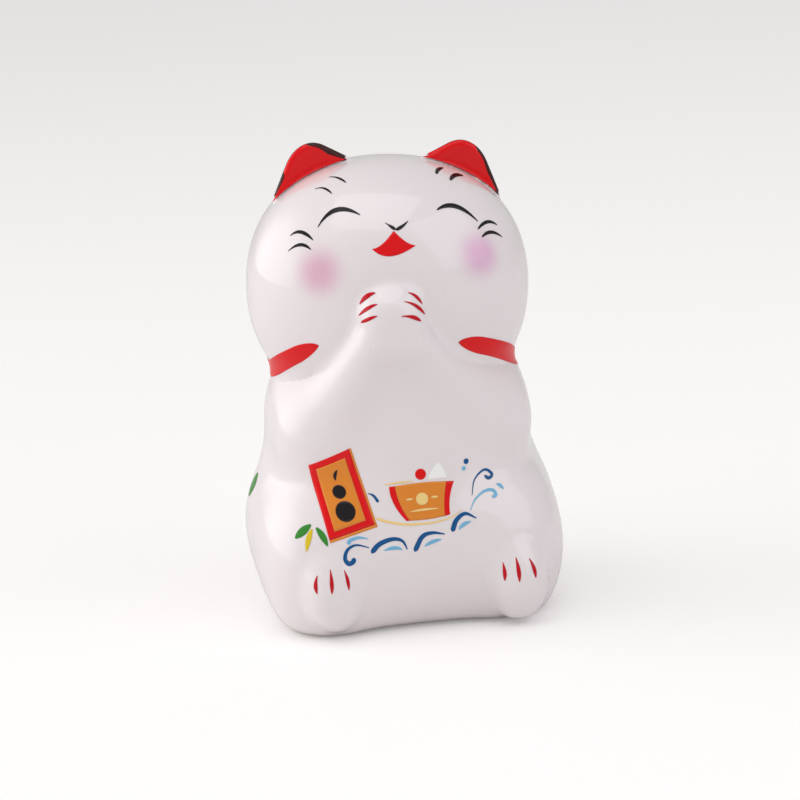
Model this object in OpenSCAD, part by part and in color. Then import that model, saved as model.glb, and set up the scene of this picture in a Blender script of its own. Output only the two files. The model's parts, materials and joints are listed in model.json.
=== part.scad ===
// Praying lucky cat figurine: one hollow slip-cast ceramic body with a glossy white
// glaze, and the colours that are laid on it afterwards and fired, each as its own
// thin layer. Millimetres. The cat faces -Y, +X is on the viewer's right, +Z is up,
// and the origin is the middle of the flat base. Left and right are the viewer's.

/* [Head] */
// Width of the head across the cheeks
head_w = 44.6; // [40:0.2:48]
// Depth of the head, face to nape
head_d = 39; // [34:0.5:42]
// Height of the head's egg shape, chin to crown
head_h = 40.4; // [36:0.2:44]
// Height of the head's centre above the table
head_z = 52.4; // [48:0.2:58]
// Squareness of the head, where 2 is a plain ellipsoid
head_square = 2.2; // [2:0.05:2.8]
// Turn of the head to the viewer's left, degrees
head_turn = 3; // [0:0.5:10]
// Tilt of the head to the viewer's right, degrees
head_tilt = 3.2; // [0:0.2:6]
// Softness of the crease between head and body
neck_blend = 3; // [1.5:0.5:5]

/* [Ears] */
// Length of an ear's foot, along the head
ear_len = 14; // [11:0.1:16]
// Height of an ear above its foot
ear_h = 5.4; // [4:0.05:7]
// Thickness of an ear, front to back
ear_d = 5.6; // [4:0.2:8]
// Distance from the middle of the head to the middle of an ear
ear_x = 11.8; // [10:0.1:14]
// Height of the middle of an ear's foot above the head's centre
ear_z = 16.8; // [14:0.1:19]
// How far an ear's outline leans inwards, per height
ear_lean = 0.21; // [0:0.01:0.4]
// Slope of an ear's foot, degrees
ear_slope = 27; // [15:1:35]
// Place of an ear's flat front, forward of the middle of the head
ear_front = 1.5; // [0:0.1:4]
// Width of the dark rim that frames the red of an ear
ear_rim = 0.5; // [0.3:0.1:1.2]

/* [Body] */
// Width, depth and height of the trunk's egg shape
trunk_size = [41.6, 35, 37]; // [30:0.5:50]
// Height of the trunk's centre
trunk_z = 32; // [28:0.5:38]
// Width, depth and height of the hips' egg shape
hip_size = [50, 38, 42]; // [34:0.5:60]
// Height of the hips' centre
hip_z = 14; // [11:0.5:18]
// How far behind the middle the hips' centre lies
hip_back = 2.8; // [0:0.2:6]
// Width, depth and height of the belly's egg shape
belly_size = [34, 27.6, 35]; // [24:0.5:42]
// Height of the belly's centre
belly_z = 15; // [12:0.5:20]
// How far in front of the middle the belly's centre lies
belly_fore = 7.2; // [4:0.2:10]
// Lower end of the rounded bib between the forearms
bib_low = [0, -8.5, 31]; // [-14:0.1:36]
// Radius of the bib at its lower end
bib_low_r = 9; // [6:0.1:11]
// Upper end of the bib, under the paws
bib_top = [-1.2, -16.6, 46]; // [-20:0.1:50]
// Radius of the bib at its upper end
bib_top_r = 3.9; // [2:0.1:5]
// Softness of the dips between the parts of the body
body_blend = 6; // [3:0.5:8]

/* [Legs and tail] */
// Width, depth and height of a thigh's egg shape
thigh_size = [21.6, 24, 29]; // [16:0.5:34]
// Distance from the middle to a thigh's centre
thigh_x = 13.3; // [10:0.1:16]
// How far in front of the middle a thigh's centre lies
thigh_fore = 8.8; // [6:0.2:12]
// Height of a thigh's centre
thigh_z = 10.5; // [8:0.5:14]
// Width, depth and height of a foot's bump
foot_size = [9.6, 8.8, 13.4]; // [6:0.2:16]
// Distance from the middle to a foot's centre
foot_x = 14.4; // [11:0.1:18]
// How far in front of the middle the left and right foot's centres lie
foot_fore = [18.2, 18.7]; // [16:0.1:20]
// Height of the left and right foot's centres
foot_z = [8.4, 7.2]; // [5:0.2:11]
// How far both feet stand to the viewer's right of the middle
foot_shift = 0.5; // [0:0.1:2]
// Diameter of the round tail at the back
tail_d = 9; // [6:0.5:12]
// How far behind the middle the tail's centre lies
tail_back = 17.4; // [15:0.2:20]
// Height of the tail's centre
tail_z = 9; // [6:0.5:14]

/* [Arms and paws] */
// Place of a shoulder, from the middle, the front and the table
shoulder = [11.8, -2, 32.7]; // [-10:0.1:40]
// Radius of the upper arm at the shoulder
shoulder_r = 6.8; // [5:0.1:8]
// Place of an elbow
elbow = [12.6, -8.6, 31.5]; // [-12:0.1:40]
// Radius of the arm at the elbow
elbow_r = 6.4; // [5:0.1:7.5]
// Place of a wrist
wrist = [3.2, -18, 46]; // [-20:0.1:50]
// Radius of the arm at the wrist
wrist_r = 3.4; // [2.5:0.1:4.5]
// Place of a paw
paw = [1.9, -19, 50.4]; // [-21:0.1:54]
// Width, depth and height of a paw
paw_size = [6.2, 6, 8.4]; // [4:0.2:10]
// How far the joined paws sit to the viewer's left of the middle
paw_shift = 2.2; // [0:0.1:4]
// Softness of the dips beside the arms
arm_blend = 4.5; // [2:0.5:6]

/* [Casting] */
// Thickness of the ceramic wall
wall = 3; // [2:0.1:4]
// Thickness of the floor round the vent
floor_t = 3; // [2:0.1:5]
// Diameter of the casting vent in the base
vent_d = 9; // [6:0.5:14]
// Rounding of the edge round the base
edge_round = 2; // [1:0.25:3]

/* [Fired colours] */
// Thickness of a fired layer
enamel_t = 0.12; // [0.08:0.01:0.25]
// Film of glaze under each layer, which keeps the solids apart
seat = 0.08; // [0.06:0.01:0.1]
// Height of the red collar band
collar_w = 2.8; // [1.5:0.1:4]
// Height of the collar band's middle at the nape
collar_z = 39.6; // [38:0.1:42]
// Rise of the collar towards its left and right tips
collar_rise = [9.6, 7]; // [4:0.1:12]
// How much lower the collar lies at the viewer's right than in the middle
collar_slope = 0.8; // [0:0.1:2]
// Angle from the face to the collar's left and right tips, degrees
collar_tip = [41, 24]; // [15:1:60]
// Place of the belly picture's middle, across and above the table
picture_at = [0, 21]; // [-6:0.5:30]
// Size of the belly picture, as a share of the size it is drawn at
picture_scale = 1; // [0.8:0.05:1.1]

/* [Hidden] */

columns = 72;            // facets round the body
front_crowding = 0.35;   // how much closer the facets stand at the front than on average
edge_rows = 4;           // facet rings up the rounded base edge
body_rows = 24;          // facet rings from that edge to just under the neck
neck_rows = 10;          // facet rings over the crease of the neck, where they stand closer
chin_rows = 5;           // facet rings from there to the head's centre
neck_span = [36.2, 44.4];// heights between which the neck's crease lies
crown_rows = 12;         // facet rings from there over the crown
cavity_columns = 32;     // facets round the cavity
cavity_rows = 12;        // facet rings of the cavity, below and above the head's centre
solve_steps = 9;         // halvings before the last straight-line step
reach_max = 40;          // no part of the cat lies further than this from its spine

tail_blend = 4;          // softness where the tail meets the rump
foot_blend = 1.4;         // softness round a foot's bump
chin_blend = 1.8;        // softness of the crease between arms and head
elbow_blend = 3;          // softness round the bend of the elbow
paw_blend = 2;           // softness between wrist and paw
pair_blend = 4;          // softness between the two joined forearms
ear_bury = 4;            // how deep an ear's foot reaches into the head
ear_steps = 20;          // facets over an ear's outline
ear_round = 2.2;         // power that rounds the tip of an ear's triangle, sharper when higher
cut = 1;                 // how far a cutting tool runs past the face that it cuts

RED = [0.78, 0.10, 0.12];
BLACK = [0.12, 0.10, 0.11];
DARK = [0.25, 0.11, 0.10];
ORANGE = [0.89, 0.55, 0.24];
PALE = [0.96, 0.82, 0.50];
BLUE = [0.12, 0.35, 0.56];
SKY = [0.58, 0.80, 0.92];
GREEN = [0.22, 0.56, 0.22];
YELLOW = [0.88, 0.76, 0.16];

// ---------------------------------------------------------------- the cat's shape

// Smooth smaller and larger of two distances, rounded over the width k
function soft_min(a, b, k) =
    let (h = max(0, min(1, 0.5 + 0.5*(b - a)/k))) b + (a - b)*h - k*h*(1 - h);
function soft_max(a, b, k) = -soft_min(-a, -b, k);

// Signed distance to an egg shape of the given size centred on the origin
function egg(p, size, e = 2) =
    let (x = 2*abs(p.x)/size.x, y = 2*abs(p.y)/size.y, z = 2*abs(p.z)/size.z,
         k = max(0.001, e == 2 ? norm([x, y, z]) : pow(pow(x, e) + pow(y, e) + pow(z, e), 1/e)))
    norm(p)*(k - 1)/k;

// Signed distance to a limb from a to b, with its own radius at each end
function limb(p, a, b, ra, rb) =
    let (d = b - a, t = max(0, min(1, (p - a)*d/(d*d))))
    norm(p - a - t*d) - ra - (rb - ra)*t;

// A point in the head's own turned and tilted frame, and back
function to_head(p) =
    let (z = p.z - head_z, s = p.x*cos(head_tilt) - z*sin(head_tilt))
    [s*cos(head_turn) - p.y*sin(head_turn), s*sin(head_turn) + p.y*cos(head_turn),
     p.x*sin(head_tilt) + z*cos(head_tilt)];
function from_head(q) =
    let (s = q.x*cos(head_turn) + q.y*sin(head_turn))
    [s*cos(head_tilt) + q.z*sin(head_tilt), q.y*cos(head_turn) - q.x*sin(head_turn),
     head_z + q.z*cos(head_tilt) - s*sin(head_tilt)];

head_size = [head_w, head_d, head_h];
function head_shape(q) = egg(q, head_size, head_square);

// One arm, seen with x counted outwards; side is 1 on the right and -1 on the left
function arm_shape(p, side) =
    let (q = [side*p.x, p.y, p.z], aside = [-side*paw_shift, 0, 0],
         upper = limb(q, shoulder, elbow, shoulder_r, elbow_r),
         fore = limb(q, elbow, wrist + aside, elbow_r, wrist_r),
         hand = egg(q - paw - aside, paw_size))
    soft_min(soft_min(upper, fore, elbow_blend), hand, paw_blend);

function foot_shape(p, side) =
    let (i = side < 0 ? 0 : 1)
    egg([p.x - side*foot_x - foot_shift, p.y + foot_fore[i], p.z - foot_z[i]], foot_size);

// Trunk, hips, belly, thighs, feet and tail
function trunk_shape(p) =
    let (m = [abs(p.x), p.y, p.z],
         trunk = egg(p - [0, 0, trunk_z], trunk_size),
         bib = limb(p, bib_low, bib_top, bib_low_r, bib_top_r),
         hips = egg(p - [0, hip_back, hip_z], hip_size),
         thigh = egg(m - [thigh_x, -thigh_fore, thigh_z], thigh_size),
         belly = egg(p - [0, -belly_fore, belly_z], belly_size),
         feet = min(foot_shape(p, 1), foot_shape(p, -1)),
         tail = egg(p - [0, tail_back, tail_z], [tail_d, tail_d, tail_d]),
         low = soft_min(soft_min(soft_min(hips, thigh, body_blend), belly, body_blend),
                        feet, foot_blend),
         high = soft_min(trunk, bib, body_blend))
    soft_min(soft_min(high, low, body_blend), tail, tail_blend);

// Signed distance to the whole figure but for its ears, without a base cut. Trunk, arms
// and head melt pair by pair, each pair over its own width.
function cat_shape(p) =
    let (arms = soft_min(arm_shape(p, 1), arm_shape(p, -1), pair_blend),
         head = head_shape(to_head(p)), rest = trunk_shape(p))
    min(soft_min(rest, head, neck_blend), soft_min(arms, head, chin_blend),
        soft_min(rest, arms, arm_blend));

// The same with the base cut flat at the table and its edge rounded
function glazed_shape(p) = soft_max(cat_shape(p), -p.z, edge_round);

// Distance from o along d to where the glazed shape stands at the given lift
function reach(o, d, lift, near = 0, far = reach_max, n = solve_steps) =
    let (mid = (near + far)/2)
    n == 0
        ? let (a = glazed_shape(o + near*d) - lift, b = glazed_shape(o + far*d) - lift)
            near + (far - near)*max(0, min(1, a/(a - b)))
        : glazed_shape(o + mid*d) > lift
            ? reach(o, d, lift, near, mid, n - 1)
            : reach(o, d, lift, mid, far, n - 1);
// The same inside, for the cavity, which leaves out the base cut
function reach_inside(o, d, far = reach_max, near = 0, n = solve_steps) =
    let (mid = (near + far)/2)
    n == 0 ? mid
        : cat_shape(o + mid*d) > -wall
            ? reach_inside(o, d, mid, near, n - 1)
            : reach_inside(o, d, far, mid, n - 1);

// Compass direction: 0 is the face, +90 the viewer's right, 180 the nape
function heading(a, up = 0) = [sin(a)*cos(up), -cos(a)*cos(up), sin(up)];
function crowded(u) = 360*u - front_crowding*sin(360*u)*180/PI;
// Even heights from a to b in n steps, without the last
function spread(a, b, n) = [for (i = [0:n - 1]) a + (b - a)*i/n];

// ---------------------------------------------------------------- the casting

// Rings of facets round the spine, closed by a flat polygon below and a point on top
module ringed_solid(rings, top) {
    n = len(rings[0]);
    m = len(rings);
    points = concat([for (ring = rings) each ring], [top]);
    faces = concat([[for (j = [0:n - 1]) j]],
        [for (i = [0:m - 2], j = [0:n - 1]) let (k = (j + 1) % n)
            each [[i*n + j, (i + 1)*n + j, (i + 1)*n + k], [i*n + j, (i + 1)*n + k, i*n + k]]],
        [for (j = [0:n - 1]) [(m - 1)*n + j, m*n, (m - 1)*n + (j + 1) % n]]);
    polyhedron(points, faces, convexity = 8);
}

module outer_skin() {
    lows = concat([for (i = [0:edge_rows - 1]) edge_round*(1 - cos(90*i/edge_rows))],
        spread(edge_round, neck_span[0], body_rows), spread(neck_span[0], neck_span[1], neck_rows),
        spread(neck_span[1], head_z, chin_rows), [head_z]);
    skirt = [for (j = [0:columns - 1]) let (d = heading(crowded(j/columns)))
        reach([0, 0, 0], d, 0)*d - [0, 0, cut]];
    rings = concat([skirt],
        [for (z = lows) [for (j = [0:columns - 1]) let (d = heading(crowded(j/columns)))
            [0, 0, z] + reach([0, 0, z], d, 0)*d]],
        [for (i = [1:crown_rows - 1]) [for (j = [0:columns - 1])
            let (d = heading(crowded(j/columns), 90*i/crown_rows))
            [0, 0, head_z] + reach([0, 0, head_z], d, 0)*d]]);
    crown = [0, 0, head_z + reach([0, 0, head_z], [0, 0, 1], 0)];
    ringed_solid(rings, crown);
}

module cavity() {
    lows = [for (i = [0:cavity_rows]) floor_t - cut + (head_z - floor_t + cut)*i/cavity_rows];
    rings = concat(
        [for (z = lows) [for (j = [0:cavity_columns - 1]) let (d = heading(360*j/cavity_columns))
            [0, 0, z] + reach_inside([0, 0, z], d)*d]],
        [for (i = [1:cavity_rows - 1]) [for (j = [0:cavity_columns - 1])
            let (d = heading(360*j/cavity_columns, 90*i/cavity_rows))
            [0, 0, head_z] + reach_inside([0, 0, head_z], d)*d]]);
    difference() {
        ringed_solid(rings, [0, 0, head_z + reach_inside([0, 0, head_z], [0, 0, 1])]);
        below(floor_t);
    }
}

// Everything lower than z
module below(z) {
    span = 2*reach_max;
    translate([-span/2, -span/2, z - span]) cube(span);
}

// Places its children on one ear's foot: +X outwards along the foot, +Z away from the
// head and +Y to the back. The left ear is the right one mirrored in the head's frame.
module on_ear(side) {
    translate([0, 0, head_z]) rotate([0, head_tilt, 0]) rotate([0, 0, -head_turn])
        mirror([side < 0 ? 1 : 0, 0, 0])
            translate([ear_x, -ear_front, ear_z]) rotate([0, ear_slope, 0]) children();
}
// A point of the ear's own frame, told in the head's
function ear_in_head(q) = [ear_x + q.x*cos(ear_slope) + q.z*sin(ear_slope), q.y - ear_front,
    ear_z + q.z*cos(ear_slope) - q.x*sin(ear_slope)];

// The ear's outline at angle a (0 outer end, 90 above the middle, 180 inner end), grown
// by g: a triangle whose two sides meet in a rounded tip. Its dome at depth w is that
// outline, shrunk to nothing at the back.
function ear_outline(a, g = 0) =
    let (half = ear_len/2, high = ear_h*pow(2, 1/ear_round),
         outer = [1/half, 1/high + ear_lean/half], inner = [-1/half, 1/high - ear_lean/half],
         d = [cos(a), sin(a)], p = max(0, d*outer), q = max(0, d*inner),
         n = pow(p, ear_round - 1)*outer + pow(q, ear_round - 1)*inner)
    d/pow(pow(p, ear_round) + pow(q, ear_round), 1/ear_round) + g*n/norm(n);
function ear_dome(a, w, g = 0) =
    let (s = sqrt(max(0, 1 - pow(w/(ear_d + g), 2))), o = ear_outline(a, g)) [s*o.x, w, s*o.y];

module ear(side) {
    steps = ear_steps;
    slices = 10;
    rings = [for (i = [0:slices]) let (w = ear_d*sin(80*i/slices))
        concat([for (j = [0:steps]) ear_dome(180*j/steps, w)],
               [let (e = ear_dome(180, w)) [e.x, w, -ear_bury],
                let (e = ear_dome(0, w)) [e.x, w, -ear_bury]])];
    n = len(rings[0]);
    on_ear(side) polyhedron([for (ring = rings) each ring],
        concat([[for (j = [n - 1:-1:0]) j]],
            [for (i = [0:slices - 1], j = [0:n - 1]) let (k = (j + 1) % n)
                each [[i*n + j, (i + 1)*n + k, (i + 1)*n + j], [i*n + j, i*n + k, (i + 1)*n + k]]],
            [[for (j = [0:n - 1]) slices*n + j]]), convexity = 4);
}

module ceramic_body() {
    color([0.96, 0.95, 0.94]) difference() {
        union() {
            outer_skin();
            ear(-1);
            ear(1);
        }
        below(0);
        cavity();
        translate([0, 0, -cut]) cylinder(d = vent_d, h = floor_t + 2*cut, $fn = 64);
    }
}

// ---------------------------------------------------------------- fired layers

// A thin closed sheet between two grids of points, lower[i][j] on the glaze and
// upper[i][j] above it, with i running to the right and j upwards as seen from outside
module sheet(lower, upper) {
    r = len(lower);
    c = len(lower[0]);
    h = r*c;
    polyhedron(concat([for (row = lower) each row], [for (row = upper) each row]),
        concat(
            [for (i = [0:r - 2], j = [0:c - 2]) let (a = h + i*c + j)
                each [[a, a + 1, a + c + 1], [a, a + c + 1, a + c]]],
            [for (i = [0:r - 2], j = [0:c - 2]) let (a = i*c + j)
                each [[a, a + c + 1, a + 1], [a, a + c, a + c + 1]]],
            [for (i = [0:r - 2]) let (a = i*c, b = a + c)
                each [[a, a + h, b + h], [a, b + h, b]]],
            [for (i = [0:r - 2]) let (a = i*c + c - 1, b = a + c)
                each [[b, b + h, a + h], [b, a + h, a]]],
            [for (j = [0:c - 2]) let (a = j, b = j + 1)
                each [[b, b + h, a + h], [b, a + h, a]]],
            [for (j = [0:c - 2]) let (a = (r - 1)*c + j, b = a + 1)
                each [[a, a + h, b + h], [a, b + h, b]]]),
        convexity = 4);
}

// Height of a layer's lower face above the glaze, counted from 0
function layer_lift(layer) = seat + layer*(enamel_t + seat);

// A drawing's point [x, z] brought forward to the skin: on the face x and z are counted
// from the head's centre in its own frame, on the body from the base
function on_face(q, lift) =
    let (o = from_head([q.x, 0, q.y]), d = from_head([q.x, -1, q.y]) - o) o + reach(o, d, lift)*d;
function on_body(q, lift) =
    let (o = [q.x, 0, q.y], d = [0, -1, 0]) o + reach(o, d, lift)*d;
function on_picture(q, lift) = on_body(picture_at + picture_scale*q, lift);
function place(where, q, lift) =
    where == "face" ? on_face(q, lift) : where == "picture" ? on_picture(q, lift) : on_body(q, lift);

// Lays a flat grid of drawing points on the skin as one layer
module fired(where, grid, layer = 0) {
    low = layer_lift(layer);
    sheet([for (row = grid) [for (q = row) place(where, q, low)]],
          [for (row = grid) [for (q = row) place(where, q, low + enamel_t)]]);
}

// The curve that passes a, m and b, and its direction
function bow(a, m, b, t) = let (c = 2*m - (a + b)/2) pow(1 - t, 2)*a + 2*t*(1 - t)*c + t*t*b;
function bow_dir(a, m, b, t) = let (c = 2*m - (a + b)/2, v = (1 - t)*(c - a) + t*(b - c)) v/norm(v);

// A brush stroke through three points: width w in the middle, with tapered ends. lean
// moves the fullest place from the start (-1) to the end (1).
module stroke(where, a, m, b, w, lean = 0, layer = 0, steps = 9) {
    fired(where, [for (i = [0:steps]) let (t = i/steps, p = bow(a, m, b, t), d = bow_dir(a, m, b, t),
            fat = pow(sin(180*(0.07 + 0.86*pow(t, pow(2, lean)))), 0.8), n = [-d.y, d.x]*w/2*fat)
        [p - n, p + n]], layer);
}

// A patch between a left and a right edge, each a bow from its foot to its top
module patch(where, left, right, across = 5, up = 6, layer = 0) {
    fired(where, [for (i = [0:across]) [for (j = [0:up]) let (t = j/up,
            l = bow(left[0], left[1], left[2], t), r = bow(right[0], right[1], right[2], t))
        l + (r - l)*i/across]], layer);
}

// A smooth curve through a list of points, at share t of its way
function trail(q, t) =
    let (n = len(q), u = t*(n - 1), i = min(n - 2, floor(u)), f = u - i,
         before = i > 0 ? q[i - 1] : 2*q[0] - q[1],
         after = i < n - 2 ? q[i + 2] : 2*q[n - 1] - q[n - 2])
    (2*q[i] + (q[i + 1] - before)*f + (2*before - 5*q[i] + 4*q[i + 1] - after)*f*f
        + (3*q[i] - before - 3*q[i + 1] + after)*f*f*f)/2;

// A curled line through a list of points, round and full at its start, thin at its end
module curl(where, q, w, steps = 12) {
    fired(where, [for (i = [0:steps]) let (t = i/steps, p = trail(q, t),
            v = trail(q, min(1, t + 0.01)) - trail(q, max(0, t - 0.01)), d = v/norm(v),
            fat = max(0.2, min(1, sqrt(t/0.08))*(1 - 0.8*t*t)), n = [-d.y, d.x]*w/2*fat)
        [p - n, p + n]]);
}

// A round spot
module spot(where, c, d, layer = 0) {
    steps = 8;
    fired(where, [for (i = [0:steps]) let (x = -cos(180*i/steps), h = sin(180*i/steps))
        [for (s = [-1, 0, 1]) c + d/2*[x, s*max(0.05, h)]]], layer);
}

// ---------------------------------------------------------------- ear colours

// Red on the flat front of an ear, from the skin of the head up to the dark rim
module ear_red(side) {
    steps = 14;
    rows = 3;
    gap = seat;
    foot = function (u, top, low = -ear_bury, n = 12)
        let (mid = (low + top)/2)
        n == 0 ? top : head_shape(ear_in_head([u, -gap, mid])) > gap
            ? foot(u, mid, low, n - 1) : foot(u, top, mid, n - 1);
    inset = [for (i = [0:steps]) let (a = 170 - 160*i/steps, o = ear_outline(a, -ear_rim))
        [o.x, foot(o.x, o.y), o.y]];
    kept = [for (c = inset) if (c[2] - c[1] > 0.15) c];
    grid = function (w) [for (c = kept) [for (j = [0:rows]) [c[0], w, c[1] + (c[2] - c[1])*j/rows]]];
    color(RED) on_ear(side) sheet(grid(-gap), grid(-gap - enamel_t));
}

// Dark brown over the ear's rim and back, down to the skin of the head
module ear_dark(side) {
    rows = 7;
    depth = function (a, g, near = 0, far = ear_d, n = 12)
        let (mid = (near + far)/2)
        n == 0 ? near : head_shape(ear_in_head(ear_dome(a, mid, g))) > 6*seat
            ? depth(a, g, mid, far, n - 1) : depth(a, g, near, mid, n - 1);
    kept = [for (i = [2*ear_steps - 1:-1:1]) let (a = 90*i/ear_steps) if (depth(a, seat) > 0.8) a];
    grid = function (g) [for (a = kept) let (bend = min(80, asin(depth(a, seat)/ear_d)))
        [for (j = [0:rows]) ear_dome(a, (ear_d + g)*sin(bend*j/rows), g)]];
    color(DARK) on_ear(side) sheet(grid(seat), grid(seat + enamel_t));
}

module ear_red_left() { ear_red(-1); }
module ear_red_right() { ear_red(1); }
module ear_dark_left() { ear_dark(-1); }
module ear_dark_right() { ear_dark(1); }

// ---------------------------------------------------------------- the face

module brow_marks_left() {
    color(BLACK) {
        stroke("face", [-9.5, 17.9], [-8.2, 17.9], [-7.1, 17.4], 0.35, 1);
        stroke("face", [-11.8, 16.3], [-10.5, 16.5], [-9.4, 15.9], 0.4, 1);
    }
}
module brow_marks_right() {
    color(BLACK) {
        stroke("face", [7.1, 18.2], [7.5, 18.6], [8.5, 18.7], 0.45, -1);
        stroke("face", [9.1, 17.3], [10.2, 17.7], [11.6, 17.4], 0.45, -1);
    }
}
module eye_line_left() {
    color(BLACK) stroke("face", [-11.9, 11.3], [-9, 13.8], [-5.5, 13.2], 0.6, 0, 0, 12);
}
module eye_line_right() {
    color(BLACK) stroke("face", [6.3, 13.6], [9.4, 13.9], [12.8, 11.5], 0.6, 0, 0, 12);
}
module whisker_marks_left() {
    color(BLACK) {
        stroke("face", [-16, 9.7], [-14.4, 10.4], [-12.7, 9.4], 0.5, 0.5);
        stroke("face", [-16.4, 7.5], [-14.6, 8.6], [-13.1, 8], 0.5, 0.5);
    }
}
module whisker_marks_right() {
    color(BLACK) {
        stroke("face", [12.7, 10.4], [14.4, 11.2], [16.1, 10.5], 0.5, -0.5);
        stroke("face", [13.3, 9.2], [14.9, 9.7], [16.8, 8.7], 0.5, -0.5);
    }
}
module nose_mark() {
    color(BLACK) {
        stroke("face", [-1.8, 12.1], [-1, 11.6], [-0.3, 11.15], 0.4, 1);
        stroke("face", [-0.14, 11.15], [0.8, 11.6], [1.7, 12.3], 0.4, -1);
    }
}
// The open mouth: two sides that sweep up to a point under the nose, over a round chin
module mouth_mark() {
    steps = 12;
    left = [-4, 8.4];
    right = [2.7, 8.8];
    peak = [-0.6, 11];
    chin = [-1.2, 7.3];
    color(RED) fired("face", [for (i = [0:steps]) let (t = 0.02 + 0.96*i/steps,
            low = bow(left, chin, right, t), half = (low.x - peak.x)/(low.x < peak.x ? left.x - peak.x
                : right.x - peak.x),
            edge = (low.x < peak.x ? left : right).y,
            high = edge + (peak.y - edge)*pow(1 - half, 1.5))
        [low, [low.x, (low.y + high)/2], [low.x, max(high, low.y + 0.08)]]]);
}

// ---------------------------------------------------------------- paws and feet

// Three short red lines on a paw or foot
module claw_marks(lines, w, lean) {
    color(RED) for (l = lines) stroke("body", l[0], l[1], l[2], w, lean, 0, 7);
}
module finger_marks_left() {
    claw_marks([[[-7.1, 53], [-6, 54.2], [-4.7, 54.7]], [[-7.4, 51.3], [-6.1, 52.6], [-4.7, 53.2]],
        [[-7.2, 50.3], [-6, 51.1], [-4.9, 51.5]]], 0.5, 0);
}
module finger_marks_right() {
    claw_marks([[[0.2, 54.4], [1.4, 53.7], [2.3, 52.4]], [[-0.6, 53.3], [1.2, 52.4], [2.6, 50.8]],
        [[-1.3, 51.2], [0.4, 50.9], [1.8, 50]]], 0.5, 0);
}
module toe_marks_left() {
    claw_marks([[[-16.7, 11.7], [-17.1, 10.3], [-17, 8.9]], [[-14.7, 12.6], [-14.7, 10.7], [-14.8, 8.9]],
        [[-12.6, 12.3], [-12.2, 10.8], [-12.1, 9.2]]], 0.55, 0.4);
}
module toe_marks_right() {
    claw_marks([[[12.2, 10.9], [12.3, 9.5], [12.2, 8.1]], [[14.2, 11.6], [14.4, 9.8], [14.4, 7.9]],
        [[16.3, 11.2], [16.9, 9.7], [17.1, 8.1]]], 0.55, 0.4);
}

// ---------------------------------------------------------------- the collar

// A red band round the nape that climbs and narrows to a tip beside each forearm
module collar_band() {
    steps = 60;
    first = -collar_tip[0];
    last = collar_tip[1] - 360;
    lift = function (up, low) [for (i = [0:steps]) let (a = last + (first - last)*i/steps,
            side = i < steps/2 ? 1 : 0,
            turn = side == 1 ? a + 360 : -a,
            ends = min(1, min(i, steps - i)/3),
            z = collar_z - collar_slope*sin(a)
                + collar_rise[side]*(turn < 90 ? pow(cos(turn), 1.5) : 0),
            half = collar_w/2*max(0.12, pow(sin(90*ends), 0.6)))
        [for (s = [-1, -2/3, -1/3, 0, 1/3, 2/3, 1]) let (o = [0, 0, z + s*half], d = heading(a))
            o + reach(o, d, low)*d]];
    color(RED) sheet(lift(0, seat), lift(0, seat + enamel_t));
}

// ---------------------------------------------------------------- the belly picture

// Corners of the hanging plaque, foot left, top left, top right and foot right
plaque = [[-14.3, -4.3], [-16.2, 6.6], [-10, 9.2], [-7.2, -2.4]];
// The sail's left edge, the edges of its two bands and its right edge: foot, middle, top
sail = [[[-2.3, -2.2], [-4, 0.5], [-4.5, 3.15]], [[-1.8, -2.2], [-3.1, 0.5], [-3.6, 3.2]],
    [[3.75, -2.05], [3.95, 0.7], [4.5, 3.15]], [[4.6, -1.9], [4.8, 0.6], [5.7, 3]]];

// The points that lie inside four corners at shares s across and t up
function within(q, s, t) = (1 - t)*((1 - s)*q[0] + s*q[3]) + t*((1 - s)*q[1] + s*q[2]);
// A patch over part of a four-cornered field
module field(q, s0, s1, t0, t1, layer, across = 4, up = 6) {
    fired("picture", [for (i = [0:across]) [for (j = [0:up])
        within(q, s0 + (s1 - s0)*i/across, t0 + (t1 - t0)*j/up)]], layer);
}

module plaque_border() { color(RED) field(plaque, 0, 1, 0, 1, 0, 7, 12); }
module plaque_field() {
    color(ORANGE) {
        field(plaque, 0.15, 0.85, 0.09, 0.91, 1, 6, 11);
        field(plaque, 1.01, 1.045, 0, 1, 0, 1, 12);
        field(plaque, 0, 1.045, -0.036, -0.008, 0, 7, 1);
    }
}
// The cloth between two edges of the sail, drawn in by a gap at either side
module cloth(l, r, gap, bulge, across, up = 6) {
    fired("picture", [for (i = [0:across]) [for (j = [0:up]) let (s = i/across, t = j/up,
            a = bow(l[0], l[1], l[2], t) + [gap, 0], b = bow(r[0], r[1], r[2], t) - [gap, 0])
        a + (b - a)*s + [0, sin(180*s)*bulge*(3*t - 1)]]]);
}
// A plain gourd: two round spots and a stalk
module plaque_motif() {
    color(BLACK) {
        spot("picture", within(plaque, 0.5, 0.28), 3, 2);
        spot("picture", within(plaque, 0.5, 0.53), 2, 2);
        stroke("picture", within(plaque, 0.5, 0.68), within(plaque, 0.52, 0.75),
            within(plaque, 0.6, 0.8), 0.5, 0, 2, 5);
    }
}
module sail_field() { color(ORANGE) cloth(sail[1], sail[2], 0.06, 0.13, 8); }
module sail_bands() {
    color(RED) {
        cloth(sail[0], sail[1], 0, 0, 2);
        cloth(sail[2], sail[3], 0, 0, 2);
    }
}
// A plain round coin mark between short bars
module sail_motif() {
    color(PALE) {
        spot("picture", [0.4, 0.95], 1.9, 1);
        stroke("picture", [-2.1, 1], [-1.6, 1.05], [-1, 1.05], 0.35, 0, 1, 4);
        stroke("picture", [1.8, 1.05], [2.4, 1.05], [2.9, 1], 0.35, 0, 1, 4);
        stroke("picture", [-1.7, -0.85], [0.6, -0.7], [2.9, -0.75], 0.35, 0, 1, 6);
    }
}

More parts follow.
